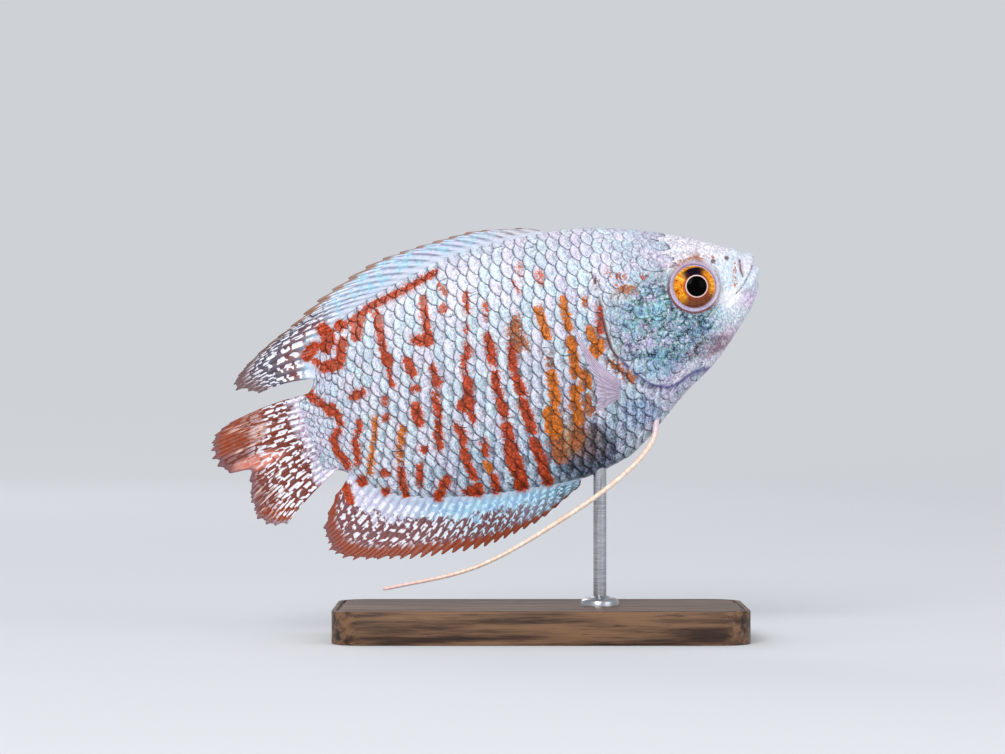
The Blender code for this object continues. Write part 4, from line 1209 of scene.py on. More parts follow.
def make_turned(name, profile, steps=64):
    """A round piece turned on the rod's own line from a profile of (radius, height) points."""
    foot = rod_foot()
    turns = np.linspace(0, 2 * np.pi, steps, endpoint=False)
    rings = np.array([[(r * math.cos(t), r * math.sin(t), z) for t in turns] for r, z in profile])
    made = rolled_grid(name, rings * 1000)
    made.data.transform(Matrix.Translation((foot.x, foot.y, 0)) @ Matrix.Scale(0.001, 4))
    return made


class Graph:
    """Short ways to add and join the nodes of one node tree."""

    def __init__(self, tree):
        self.tree = tree

    def feed(self, socket, value):
        if isinstance(value, bpy.types.NodeSocket):
            self.tree.links.new(value, socket)
        elif socket.type == "RGBA" and len(value) == 3:
            socket.default_value = (*value, 1.0)
        else:
            socket.default_value = value

    def add(self, kind, inputs=None, **settings):
        node = self.tree.nodes.new(kind)
        for name, value in settings.items():
            setattr(node, name, value)
        for key, value in (inputs or {}).items():
            self.feed(node.inputs[key], value)
        return node

    def calc(self, operation, a, b=0.5):
        return self.add("ShaderNodeMath", {0: a, 1: b}, operation=operation).outputs[0]

    def times(self, a, b):
        return self.calc("MULTIPLY", a, b)

    def plus(self, a, b):
        return self.calc("ADD", a, b)

    def minus(self, a, b):
        return self.calc("SUBTRACT", a, b)

    def step(self, value, low, high, start=0.0, end=1.0):
        inputs = {0: value, 1: low, 2: high, 3: start, 4: end}
        return self.add("ShaderNodeMapRange", inputs, interpolation_type="SMOOTHSTEP").outputs[0]

    def vector(self, operation, a, b=(0.0, 0.0, 0.0)):
        node = self.add("ShaderNodeVectorMath", {0: a, 1: b}, operation=operation)
        return node.outputs["Value" if operation in ("LENGTH", "DISTANCE", "DOT_PRODUCT") else "Vector"]

    def stretch(self, a, factor):
        return self.vector("MULTIPLY", a, factor)

    def scale_add(self, a, factor, offset):
        node = self.add("ShaderNodeVectorMath", {0: a, 1: factor, 2: offset}, operation="MULTIPLY_ADD")
        return node.outputs["Vector"]

    def mix(self, factor, a, b, blend="MIX"):
        node = self.add("ShaderNodeMix", {0: factor, 6: a, 7: b}, data_type="RGBA", blend_type=blend)
        return node.outputs[2]

    def brighten(self, factor, colour):
        """Lifts the bright parts of a colour towards white and leaves its dark parts dark."""
        once = self.mix(1.0, colour, colour, "SCREEN")
        return self.mix(factor, colour, self.mix(1.0, once, once, "SCREEN"))

    def noise(self, vector, scale, detail=2.0, roughness=0.5, colour=False):
        inputs = {"Vector": vector, "Scale": scale, "Detail": detail, "Roughness": roughness}
        return self.add("ShaderNodeTexNoise", inputs).outputs["Color" if colour else "Fac"]

    def cells(self, vector, scale, feature="F1"):
        node = self.add("ShaderNodeTexVoronoi", {"Vector": vector, "Scale": scale}, feature=feature)
        return node.outputs["Distance"]

    def parts(self, vector):
        return self.add("ShaderNodeSeparateXYZ", {0: vector}).outputs

    def patch(self, place, behind, height, along, up, soft=0.35):
        """1 in the middle of an oval of the side view, fading to 0 at its edge."""
        moved = self.scale_add(place, (1 / along, 0.0, 1 / up), (behind / along, 0.0, -height / up))
        return self.step(self.vector("LENGTH", moved), 1.0, soft)

    def attribute(self, name):
        return self.add("ShaderNodeAttribute", attribute_type="GEOMETRY", attribute_name=name).outputs

    def bump(self, height, strength, distance):
        inputs = {"Height": height, "Strength": strength, "Distance": distance}
        return self.add("ShaderNodeBump", inputs).outputs["Normal"]

    def use(self, group, inputs):
        return self.add("ShaderNodeGroup", inputs, node_tree=group).outputs


# Kinds of the sockets that aren't plain numbers
SOCKET_KINDS = {
    "Color": "Color", "Marks": "Color",
    "Place": "Vector", "Blade": "Vector", "Ray": "Vector", "Spot": "Vector",
}


def node_group(name, inputs, outputs):
    """Turns a function that fills a node group into one that makes the group once and gives it."""

    def turn(fill):
        def make():
            if name not in bpy.data.node_groups:
                tree = bpy.data.node_groups.new(name, "ShaderNodeTree")
                for way, labels in (("INPUT", inputs), ("OUTPUT", outputs)):
                    for label in labels:
                        kind = "NodeSocket" + SOCKET_KINDS.get(label, "Float")
                        tree.interface.new_socket(name=label, in_out=way, socket_type=kind)
                given = tree.nodes.new("NodeGroupInput").outputs
                made = fill(Graph(tree), given)
                out = tree.nodes.new("NodeGroupOutput").inputs
                for label, value in zip(outputs, made if isinstance(made, tuple) else (made,)):
                    tree.links.new(value, out[label])
            return bpy.data.node_groups[name]

        return make

    return turn


def new_material(name):
    material = bpy.data.materials.new(name)
    material.use_nodes = True
    graph = Graph(material.node_tree)
    return material, graph, material.node_tree.nodes["Principled BSDF"]


def dress(graph, shader, colour, normal, roughness):
    graph.feed(shader.inputs["Base Color"], colour)
    graph.feed(shader.inputs["Normal"], normal)
    graph.feed(shader.inputs["Roughness"], roughness)


def set_gloss(shader, specular, coat, coat_roughness):
    shader.inputs["Specular IOR Level"].default_value = specular
    shader.inputs["Coat Weight"].default_value = coat
    shader.inputs["Coat Roughness"].default_value = coat_roughness


def fish_place(graph):
    """Object coordinates turned into the fish frame, in millimetres."""
    spot = graph.add("ShaderNodeTexCoord").outputs["Object"]
    settings = {
        "Vector": spot, "Location": SNOUT, "Rotation": (0.0, -PITCH, 0.0), "Scale": (0.001, 0.001, 0.001)
    }
    return graph.add("ShaderNodeMapping", settings, vector_type="TEXTURE").outputs["Vector"]


def colours():
    return bpy.context.scene.gourami_colours


@node_group("fish_marks", ("Color", "Marks", "Dark", "Place", "Shift"), ("Color", "Mask"))
def group_marks(graph, given):
    """Lays the red, orange, rust and dark marks over a colour, with slightly ragged edges. The dark lines by
    the mouth and one rust line on a fold are painted shade in creases.
    """
    paints = colours()
    rough = graph.noise(given["Place"], 3.0, 3.0, 0.75)
    ragged = graph.calc("MULTIPLY_ADD", rough, 1.3)
    ragged.node.inputs[2].default_value = -0.65
    ragged = graph.plus(ragged, given["Shift"])
    channels = graph.add("ShaderNodeSeparateColor", {0: given["Marks"]}).outputs
    blotch = graph.noise(given["Place"], 1.1, 3.0, 0.6)
    result = given["Color"]
    total = None
    looks = (
        (channels[2], paints.bar_rust, 0.38, 0.85, 2.4, 0.5),
        (channels[1], paints.bar_orange, 0.42, 0.56, 1.1, 0.6),
        (channels[0], paints.bar_red, 0.42, 0.54, 1.0, 0.56),
        (given["Dark"], paints.spot_and_crease_shade, 0.46, 0.6, 0.3, 0.8),
    )
    blush = graph.calc("MAXIMUM", channels[0], graph.times(channels[1], 0.7))
    blush = graph.plus(blush, graph.times(ragged, 0.5))
    blush = graph.times(graph.step(blush, 0.0, 0.4, 0.0, 0.75), graph.step(blotch, 0.4, 0.6, 0.4, 1.0))
    result = graph.mix(blush, result, paint(214, 150, 138), "MULTIPLY")
    for strength, colour, low, high, tear, shade in looks:
        torn = graph.times(ragged, tear)
        mask = graph.step(graph.plus(strength, torn), low, high)
        inside = graph.step(strength, 0.02, 0.12)
        mask = graph.times(mask, inside)
        deep = tuple(c * shade for c in colour)
        own = graph.mix(graph.step(blotch, 0.35, 0.65), tuple(colour), deep)
        own = graph.mix(
            graph.step(rough, 0.5, 0.62, 0.0, 0.75), own, tuple(min(1.7 * c + 0.03, 1.0) for c in colour)
        )
        own = graph.mix(graph.step(rough, 0.47, 0.38, 0.0, 0.75), own, tuple(0.34 * c for c in colour))
        result = graph.mix(mask, result, own)
        total = mask if total is None else graph.calc("MAXIMUM", total, mask)
    return result, total


@node_group("fish_flank", ("Place",), ("Color",))
def group_flank(graph, given):
    """The broad silver, blue, lilac and brown regions of the body."""
    wander = graph.noise(given["Place"], 0.55, 3.0, 0.6, colour=True)
    moved = graph.scale_add(wander, (2.4, 2.4, 2.4), (-1.2, -1.2, -1.2))
    place = graph.vector("ADD", given["Place"], moved)
    result = graph.mix(graph.noise(given["Place"], 0.4, 2.0), paint(*BODY_BASE), paint(180, 192, 212))
    for behind, height, along, up, chart, strength in BODY_PATCHES:
        mask = graph.patch(place, behind, height, along, up)
        mask = graph.times(mask, strength)
        result = graph.mix(mask, result, paint(*chart))
    return graph.mix(0.75, result, result, "SCREEN")


@node_group("head_mottle", ("Color", "Place", "Edge"), ("Color",))
def group_head_mottle(graph, given):
    """Aqua, green and lilac mottling of the cheek and gill cover, with thin dark folds and bright glints."""
    place = given["Place"]
    zone = graph.patch(place, 12.4, -2.0, 8.4, 6.8, 0.6)
    hue = graph.noise(place, 0.8, 4.0, 0.7)
    tint = graph.mix(graph.step(hue, 0.36, 0.43), paint(118, 150, 200), paint(190, 240, 248))
    tint = graph.mix(graph.step(hue, 0.46, 0.51), tint, paint(158, 212, 190))
    tint = graph.mix(graph.step(hue, 0.52, 0.57), tint, paint(238, 230, 252))
    tint = graph.mix(graph.step(hue, 0.60, 0.68), tint, paint(196, 176, 222))
    colour = graph.mix(graph.times(zone, 0.85), given["Color"], tint, "MULTIPLY")
    warped = graph.scale_add(graph.noise(place, 0.9, 3.0, 0.6, colour=True), (1.6, 1.6, 1.6), place)
    patchy = graph.noise(place, 0.7, 3.0, 0.6)
    for scale, wide, low in ((0.75, 0.08, 0.42), (1.7, 0.13, 0.48)):
        line = graph.step(graph.cells(warped, scale, "DISTANCE_TO_EDGE"), wide, 0.0)
        line = graph.times(line, graph.step(patchy, low, low + 0.1, 0.15, 0.95))
        colour = graph.mix(graph.times(line, zone), colour, paint(62, 66, 86), "MULTIPLY")
    glint = graph.step(graph.cells(warped, 2.0), 0.42, 0.14)
    glint = graph.times(glint, graph.step(hue, 0.42, 0.5, 0.3, 1.0))
    colour = graph.mix(graph.times(glint, zone), colour, paint(228, 234, 240), "SCREEN")
    scaly = graph.step(
        graph.cells(graph.stretch(warped, (1.0, 0.0, 1.0)), 1.15, "DISTANCE_TO_EDGE"), 0.09, 0.0
    )
    fore = graph.patch(place, 10.5, 6.2, 6.0, 3.6, 0.7)
    scaly = graph.times(scaly, graph.times(fore, 0.35))
    colour = graph.mix(scaly, colour, paint(120, 104, 136), "MULTIPLY")
    brown = graph.patch(place, 7.6, 4.0, 4.0, 1.5, 0.2)
    brown = graph.times(brown, graph.step(patchy, 0.44, 0.6, 0.0, 0.7))
    colour = graph.mix(brown, colour, paint(176, 112, 76), "MULTIPLY")
    height = graph.parts(place)[2]
    border = graph.mix(graph.step(height, -5.5, -3.0), paint(66, 62, 132), paint(92, 40, 36))
    return graph.mix(given["Edge"], colour, border)


@node_group("shimmer", ("Color", "Place", "Amount"), ("Color", "Glints"))
def group_shimmer(graph, given):
    """Breaks a colour into the small cyan, lilac and green glints of a wet, silvery surface: painted
    highlights, as bright specks between darker ones.
    """
    hue = graph.noise(given["Place"], 1.5, 2.0, 0.6)
    tint = graph.mix(graph.step(hue, 0.40, 0.50), paint(196, 236, 244), paint(226, 222, 246))
    tint = graph.mix(graph.step(hue, 0.54, 0.62), tint, paint(248, 232, 240))
    base = graph.mix(given["Amount"], given["Color"], tint, "MULTIPLY")
    # Painted highlight: bright specks stand in for glints of light on the wet skin, with darker specks
    # between them.
    stretch = graph.stretch(given["Place"], (1.25, 1.0, 0.8))
    speck = graph.noise(stretch, 3.2, 3.0, 0.85)
    grain = graph.step(speck, 0.40, 0.60)
    dark = graph.mix(0.5, base, paint(98, 108, 126), "MULTIPLY")
    light = graph.brighten(0.85, base)
    return graph.mix(grain, dark, light), grain


def over_marks(graph, colour, place, shift=0.0):
    marks = graph.attribute("marks")
    inputs = {
        "Color": colour, "Marks": marks["Color"], "Dark": marks["Alpha"], "Place": place, "Shift": shift
    }
    return graph.use(group_marks(), inputs)


def mottled(graph, place, amount, shine_share):
    """The body's colour with its painted glints, as far as shine_share lets them show, and the head's
    mottling.
    """
    colour = graph.use(group_flank(), {"Place": place})["Color"]
    shine = graph.use(group_shimmer(), {"Color": colour, "Place": place, "Amount": amount})
    colour = graph.mix(shine_share, colour, shine["Color"])
    inputs = {"Color": colour, "Place": place, "Edge": graph.attribute("edge")["Fac"]}
    return graph.use(group_head_mottle(), inputs)["Color"]


def make_skin_material():
    material, graph, shader = new_material("wet_skin")
    place = fish_place(graph)
    bare = graph.attribute("bare")["Fac"]
    snout = graph.patch(place, 1.0, 0.6, 5.4, 5.0, 0.3)
    colour = mottled(graph, place, 0.5, graph.step(snout, 0.0, 1.0, 0.8, 0.5))
    flat = graph.stretch(place, (1.0, 0.0, 1.0))
    from_eye = graph.vector("DISTANCE", flat, EYE_SPOT)
    lavender = graph.times(graph.step(from_eye, 3.15, 2.9), 0.75)
    colour = graph.mix(lavender, colour, paint(196, 178, 212))
    ring = graph.times(graph.step(from_eye, 2.92, 3.06), graph.step(from_eye, 3.42, 3.2))
    turn = graph.vector("NORMALIZE", graph.vector("SUBTRACT", flat, EYE_SPOT))
    lower = graph.step(graph.vector("DOT_PRODUCT", turn, (-0.75, 0.0, -0.66)), -0.9, 0.9, 0.35, 0.95)
    colour = graph.mix(graph.times(ring, lower), colour, paint(112, 54, 58))
    bright = graph.patch(place, 4.1, -2.2, 2.6, 1.9, 0.2)
    colour = graph.mix(graph.times(bright, 0.38), colour, paint(236, 232, 244), "SCREEN")
    colour = over_marks(graph, colour, place)["Color"]
    # Painted shade: the skin is darker where scales cover it, so the gaps between the scales read darker.
    covered = graph.minus(1.0, bare)
    colour = graph.mix(graph.times(covered, 0.3), colour, paint(92, 96, 120), "MULTIPLY")
    # Painted shade in the nostrils' pits.
    pits = None
    for behind, height, radius in NOSTRILS:
        mask = graph.patch(place, behind, height, 1.1 * radius, 1.1 * radius, 0.5)
        pits = mask if pits is None else graph.calc("MAXIMUM", pits, mask)
    colour = graph.mix(graph.times(pits, 0.8), colour, paint(96, 66, 70))
    jaw = graph.patch(place, 9.2, -6.5, 5.0, 1.5, 0.5)
    jaw = graph.times(jaw, graph.step(graph.noise(place, 0.9, 3.0, 0.7), 0.38, 0.6, 0.25, 0.8))
    colour = graph.mix(jaw, colour, paint(156, 124, 132), "MULTIPLY")
    # Painted shade in the fold behind the upper lip.
    mouth = graph.patch(place, 1.75, 1.3, 0.5, 1.5, 0.2)
    colour = graph.mix(graph.times(mouth, 0.45), colour, paint(142, 92, 104))
    fine = graph.noise(place, 9.0, 3.0, 0.6)
    pores = graph.cells(place, 4.5)
    height = graph.plus(graph.times(fine, 0.6), graph.times(pores, 0.5))
    dress(graph, shader, colour, graph.bump(height, 0.35, 0.00006), graph.step(fine, 0.3, 0.7, 0.30, 0.48))
    set_gloss(shader, 0.3, 0.2, 0.15)
    return material


@node_group("scale_tone", ("Color", "Blade", "Place", "Mask", "Calm"), ("Color", "Height"))
def group_scale_tone(graph, given):
    """Shades one scale with painted light: painted shade at its covered root, a painted highlight across its
    middle, and a thin line of painted shade along its hind edge.
    """
    blade = graph.parts(given["Blade"])
    across, along, chance = blade[0], blade[1], blade[2]
    square = graph.times(across, across)
    plain = graph.minus(1.0, given["Mask"])
    lively = graph.minus(1.0, given["Calm"])
    reach = graph.plus(along, graph.times(square, 0.10))
    spot = graph.parts(given["Place"])
    # Painted shade under the overlapping scale in front, at this scale's root, stronger further down the
    # body.
    lower = graph.step(spot[2], 6.0, -3.0, 0.10, 0.56)
    cover = graph.times(graph.step(reach, 0.80, 0.50), graph.times(lively, lower))
    colour = graph.mix(cover, given["Color"], paint(110, 108, 98), "MULTIPLY")
    # Painted highlight: a bright band just ahead of the hind edge, brighter on the scale's upper half, left
    # off the marks.
    light = graph.times(graph.step(reach, 0.64, 0.80), graph.step(reach, 0.98, 0.88))
    light = graph.times(light, graph.step(across, 0.9, -0.9, 0.25, 0.85))
    light = graph.times(light, graph.times(plain, graph.times(lively, 0.8)))
    colour = graph.brighten(light, colour)
    # Painted shade: a thin dark line along the hind edge, stronger on the lower half, made uneven by noise.
    lower = graph.step(across, -0.8, 0.7, 0.35, 0.85)
    edge = graph.times(graph.step(reach, 0.93, 0.99), lower)
    edge_unevenness = graph.step(graph.noise(given["Place"], 0.9, 3.0, 0.7), 0.40, 0.62, 0.02, 0.5)
    edge = graph.times(graph.times(edge, edge_unevenness), graph.step(given["Calm"], 0.0, 1.0, 1.0, 0.25))
    colour = graph.mix(edge, colour, paint(136, 118, 150), "MULTIPLY")
    ruddy = graph.times(graph.step(spot[0], -36.0, -46.0, 0.0, 0.75), graph.step(spot[2], 9.0, 5.0))
    ruddy = graph.times(ruddy, graph.times(graph.step(reach, 0.84, 0.95), lively))
    colour = graph.mix(graph.times(ruddy, edge_unevenness), colour, paint(164, 84, 66))
    second = graph.add("ShaderNodeTexWhiteNoise", {"W": chance}, noise_dimensions="1D").outputs["Value"]
    dim = graph.step(second, 0.0, 1.0, 0.22, 0.0)
    colour = graph.mix(graph.times(dim, plain), colour, paint(120, 132, 160), "MULTIPLY")
    tint = graph.mix(chance, paint(204, 238, 246), paint(240, 226, 248))
    colour = graph.mix(graph.times(plain, 0.55), colour, tint, "MULTIPLY")
    streaks = graph.calc("SINE", graph.times(across, 26.0))
    grow = graph.calc("SINE", graph.times(reach, 70.0))
    height = graph.plus(graph.times(streaks, 0.3), graph.times(grow, 0.25))
    return colour, graph.times(height, lively)


def make_scale_material():
    material, graph, shader = new_material("pearly_scale")
    place = fish_place(graph)
    blade = graph.attribute("blade")["Vector"]
    calm = graph.attribute("calm")["Fac"]
    colour = mottled(graph, place, 0.6, graph.minus(1.0, graph.times(calm, 0.2)))
    across = graph.parts(blade)[0]
    shift = graph.times(graph.times(across, across), -0.18)
    shift = graph.plus(shift, 0.09)
    marked = over_marks(graph, colour, place, shift)
    inputs = {
        "Color": marked["Color"], "Blade": blade, "Place": place, "Mask": marked["Mask"], "Calm": calm
    }
    toned = graph.use(group_scale_tone(), inputs)
    fine = graph.noise(place, 7.0, 2.0, 0.6)
    height = graph.plus(toned["Height"], fine)
    dress(
        graph, shader, toned["Color"], graph.bump(height, 0.4, 0.00005),
        graph.step(fine, 0.3, 0.7, 0.30, 0.46),
    )
    set_gloss(shader, 0.3, 0.2, 0.15)
    return material


@node_group("ray_pattern", ("Ray", "Place", "Fork", "Rows", "Fill"), ("Line", "Dash", "Height"))
def group_ray_pattern(graph, given):
    """Lines along the rays, forked past Fork, and a staggered row of dashes in each gap between them."""
    ray = graph.parts(given["Ray"])
    place, along = ray[0], ray[1]
    single = graph.calc("COSINE", graph.times(place, 2 * math.pi))
    double = graph.calc("COSINE", graph.times(place, 4 * math.pi))
    double = graph.times(double, -1.0)
    fork = graph.step(graph.minus(along, given["Fork"]), 0.0, 0.2)
    blend = graph.add("ShaderNodeMix", {0: fork, 2: single, 3: double}, data_type="FLOAT").outputs[0]
    line = graph.step(blend, 0.25, 0.8)
    gap = graph.step(blend, 0.78, 0.25)
    cell = graph.calc("FLOOR", graph.times(place, 2.0))
    jump = graph.add("ShaderNodeTexWhiteNoise", {"W": cell}, noise_dimensions="1D").outputs["Value"]
    wander = graph.noise(given["Place"], 1.1, 1.0, 0.5)
    phase = graph.times(along, given["Rows"])
    phase = graph.plus(phase, jump)
    phase = graph.plus(phase, graph.times(wander, 1.8))
    wave = graph.calc("COSINE", graph.times(phase, 2 * math.pi))
    wave = graph.plus(wave, given["Fill"])
    wave = graph.minus(wave, graph.step(blend, 0.0, 0.9, 0.0, 1.3))
    dash = graph.times(graph.step(wave, -0.05, 0.3), gap)
    return line, dash, graph.plus(graph.step(blend, -0.2, 0.9), graph.times(dash, 0.3))


def finish_fin(graph, shader, colour, pattern, place, edge):
    """Bump, gloss and the see-through edge that all the upright fins share."""
    fine = graph.noise(place, 6.0, 3.0, 0.6)
    height = graph.plus(pattern["Height"], graph.times(fine, 0.5))
    dress(graph, shader, colour, graph.bump(height, 0.5, 0.00006), graph.step(fine, 0.3, 0.7, 0.34, 0.52))
    graph.feed(shader.inputs["Alpha"], edge)
    set_gloss(shader, 0.25, 0.12, 0.2)


def start_fin(name, fork, rows, fill):
    material, graph, shader = new_material(name)
    place = fish_place(graph)
    ray = graph.attribute("ray")["Vector"]
    inputs = {"Ray": ray, "Place": place, "Fork": fork, "Rows": rows, "Fill": fill}
    pattern = graph.use(group_ray_pattern(), inputs)
    spot = graph.parts(place)
    behind = graph.times(spot[0], -1.0)
    return material, graph, shader, place, graph.parts(ray)[1], pattern, behind, spot[2]


def make_dorsal_material():
    material, graph, shader, place, along, pattern, behind, _ = start_fin("dorsal_membrane", 0.5, 7.0, 0.2)
    paints = colours()
    wander = graph.noise(place, 0.8, 3.0, 0.6)
    colour = graph.mix(graph.step(wander, 0.4, 0.6), paints.fin_cyan, paint(200, 204, 228))
    front = graph.step(behind, 33.0, 25.0, 0.0, 0.75)
    colour = graph.mix(front, colour, paint(206, 190, 190))
    rear = graph.times(graph.step(behind, 49.0, 53.0), graph.step(along, 0.1, 0.3))
    dark = graph.mix(graph.step(along, 0.3, 0.6), paints.fin_net, paint(58, 38, 52))
    colour = graph.mix(graph.times(rear, 0.92), colour, dark)
    lines = graph.times(pattern["Line"], graph.step(wander, 0.35, 0.6, 0.2, 0.7))
    colour = graph.mix(lines, colour, paint(92, 92, 112))
    dashes = graph.times(pattern["Dash"], graph.step(behind, 44.0, 52.0, 0.35, 0.95))
    dashes = graph.times(dashes, graph.step(along, 0.97, 0.8))
    colour = graph.mix(dashes, colour, paints.fin_white)
    rim = graph.step(graph.plus(along, graph.times(wander, 0.2)), 0.86, 1.0, 0.0, 0.85)
    rim = graph.times(rim, graph.step(behind, 61.0, 55.0, 0.45, 1.0))
    colour = graph.mix(rim, colour, paint(150, 100, 66))
    tip = graph.times(graph.step(behind, 59.0, 64.0), 0.6)
    colour = graph.mix(tip, colour, paint(110, 78, 84))
    low = graph.step(along, 0.16, 0.02, 0.0, 0.8)
    colour = graph.mix(low, colour, paint(206, 214, 230))
    colour = over_marks(graph, colour, place, 0.03)["Color"]
    finish_fin(graph, shader, colour, pattern, place, graph.step(along, 0.86, 1.0, 1.0, 0.72))
    return material


def make_anal_material():
    material, graph, shader, place, along, pattern, behind, _ = start_fin("anal_membrane", 0.62, 6.0, 0.12)
    paints = colours()
    wander = graph.noise(place, 0.9, 3.0, 0.6)
    colour = graph.mix(graph.step(wander, 0.42, 0.6), paints.fin_cyan, paint(140, 182, 222))
    rear = graph.step(behind, 44.0, 54.0)
    colour = graph.mix(rear, colour, paint(206, 206, 230))
    front = graph.step(behind, 37.0, 31.0)
    dusky = graph.mix(graph.step(wander, 0.4, 0.62), paint(44, 66, 76), paint(110, 160, 180))
    colour = graph.mix(graph.times(front, 0.85), colour, dusky)
    broken = graph.noise(place, 0.75, 3.0, 0.7)
    start = graph.plus(along, graph.times(graph.minus(broken, 0.5), 1.1))
    net = graph.times(graph.step(start, 0.25, 0.37), graph.step(behind, 31.0, 40.0, 0.3, 1.0))
    dark_net = graph.mix(graph.step(broken, 0.4, 0.6), paints.fin_net, paint(108, 50, 46))
    colour = graph.mix(graph.times(net, 0.92), colour, dark_net)
    dashes = graph.times(pattern["Dash"], graph.step(along, 0.9, 0.68))
    pale = graph.mix(graph.step(behind, 40.0, 50.0), paint(190, 226, 244), paints.fin_white)
    colour = graph.mix(graph.times(dashes, 0.92), colour, pale)
    colour = graph.mix(graph.times(pattern["Line"], graph.step(along, 0.5, 0.9, 0.12, 0.4)), colour,
                       paint(120, 72, 66))
    rim_start = graph.plus(along, graph.times(wander, 0.16))
    rim = graph.step(rim_start, 0.80, 0.92)
    orange = graph.mix(graph.step(behind, 58.0, 61.0, 0.0, 0.8), paints.fin_orange, paints.fin_mauve)
    orange = graph.mix(graph.times(pattern["Line"], 0.5), orange, paint(140, 66, 34))
    colour = graph.mix(graph.times(rim, 0.9), colour, orange)
    low = graph.step(along, 0.10, 0.01, 0.0, 0.6)
    colour = graph.mix(low, colour, paint(188, 200, 222))
    colour = over_marks(graph, colour, place, 0.03)["Color"]
    finish_fin(graph, shader, colour, pattern, place, graph.step(along, 0.86, 1.0, 1.0, 0.78))
    return material


def make_tail_material():
    material, graph, shader, place, along, pattern, behind, height = start_fin(
        "tail_membrane", 0.52, 7.0, 0.35
    )
    paints = colours()
    ray_spot = graph.attribute("ray")["Vector"]
    wander = graph.noise(place, 0.9, 3.0, 0.6)
    base = graph.mix(graph.step(wander, 0.4, 0.6), paint(200, 202, 226), paint(214, 198, 222))
    net = graph.mix(graph.step(wander, 0.4, 0.62), paints.fin_net, paint(112, 54, 44))
    shifted = graph.plus(behind, graph.times(graph.minus(wander, 0.5), 6.0))
    colour = graph.mix(graph.step(shifted, 58.4, 59.8), base, net)
    upper = graph.times(graph.step(height, 0.8, 2.0), graph.step(shifted, 61.5, 63.5))
    colour = graph.mix(graph.times(upper, 0.95), colour, paints.fin_orange)
    lower = graph.times(graph.step(height, -5.6, -7.2), graph.step(shifted, 62.5, 64.0))
    colour = graph.mix(graph.times(lower, 0.9), colour, paints.fin_orange)
    lines = graph.times(pattern["Line"], graph.step(behind, 60.0, 65.0, 0.15, 0.35))
    colour = graph.mix(lines, colour, paint(118, 58, 44))
    fold = graph.patch(place, 65.2, -0.7, 4.6, 1.25, 0.45)
    colour = graph.mix(graph.times(fold, 0.85), colour, paints.fin_pink)
    fade = graph.step(behind, 66.4, 63.6, 0.12, 1.0)
    dashes = graph.times(pattern["Dash"], fade)
    dashes = graph.times(dashes, graph.step(upper, 0.9, 0.1, 0.3, 1.0))
    streaks = graph.noise(graph.stretch(ray_spot, (2.6, 3.0, 0.0)), 1.0, 2.0, 0.6)
    streaks = graph.times(graph.step(streaks, 0.54, 0.64), graph.step(behind, 62.0, 63.4))
    streaks = graph.times(streaks, graph.step(behind, 68.4, 66.4, 0.0, 0.7))
    colour = graph.mix(streaks, colour, paint(236, 206, 196))
    colour = graph.mix(graph.step(wander, 0.46, 0.36, 0.0, 0.6), colour, paint(112, 44, 20))
    colour = graph.mix(graph.times(dashes, 0.95), colour, paints.fin_white)
    fringe = graph.step(graph.plus(along, graph.times(wander, 0.1)), 0.97, 1.03, 0.0, 0.6)
    colour = graph.mix(fringe, colour, paints.fin_mauve)
    colour = over_marks(graph, colour, place, 0.03)["Color"]
    finish_fin(graph, shader, colour, pattern, place, graph.step(along, 0.88, 1.0, 1.0, 0.75))
    return material


def make_pectoral_material():
    material, graph, shader, place, along, pattern, _, _ = start_fin("clear_membrane", 0.55, 4.0, -0.5)
    paints = colours()
    wander = graph.noise(place, 1.2, 3.0, 0.6)
    colour = graph.mix(graph.step(wander, 0.4, 0.6), paints.pectoral_lilac, paint(226, 206, 224))
    colour = graph.mix(graph.times(pattern["Line"], 0.5), colour, paint(240, 230, 244))
    root = graph.step(along, 0.22, 0.0, 0.0, 0.7)
    colour = graph.mix(root, colour, paint(228, 214, 232))
    edge = graph.step(along, 0.2, 0.95, 0.62, 0.34)
    edge = graph.calc("MAXIMUM", edge, graph.times(pattern["Line"], 0.8))
    finish_fin(graph, shader, colour, pattern, place, edge)
    return material


def make_feeler_material():
    material, graph, shader = new_material("feeler_thread")
    place = fish_place(graph)
    share = graph.attribute("thread")["Fac"]
    wander = graph.noise(place, 1.6, 3.0, 0.6)
    cream = colours().feeler_cream
    colour = graph.mix(graph.step(wander, 0.4, 0.65), cream, paint(250, 232, 214))
    colour = graph.mix(graph.step(share, 0.75, 1.0, 0.0, 0.8), colour, paint(236, 196, 200))
    colour = graph.mix(graph.step(share, 0.10, 0.0, 0.0, 0.8), colour, paint(206, 188, 210))
    joint = graph.calc("SINE", graph.times(share, 330.0))
    colour = graph.mix(graph.step(joint, 0.6, 1.0, 0.0, 0.25), colour, paint(190, 140, 120))
    height = graph.plus(graph.times(joint, 0.4), wander)
    dress(graph, shader, colour, graph.bump(height, 0.4, 0.00005), graph.step(wander, 0.3, 0.7, 0.32, 0.5))
    set_gloss(shader, 0.5, 0.25, 0.2)
    return material


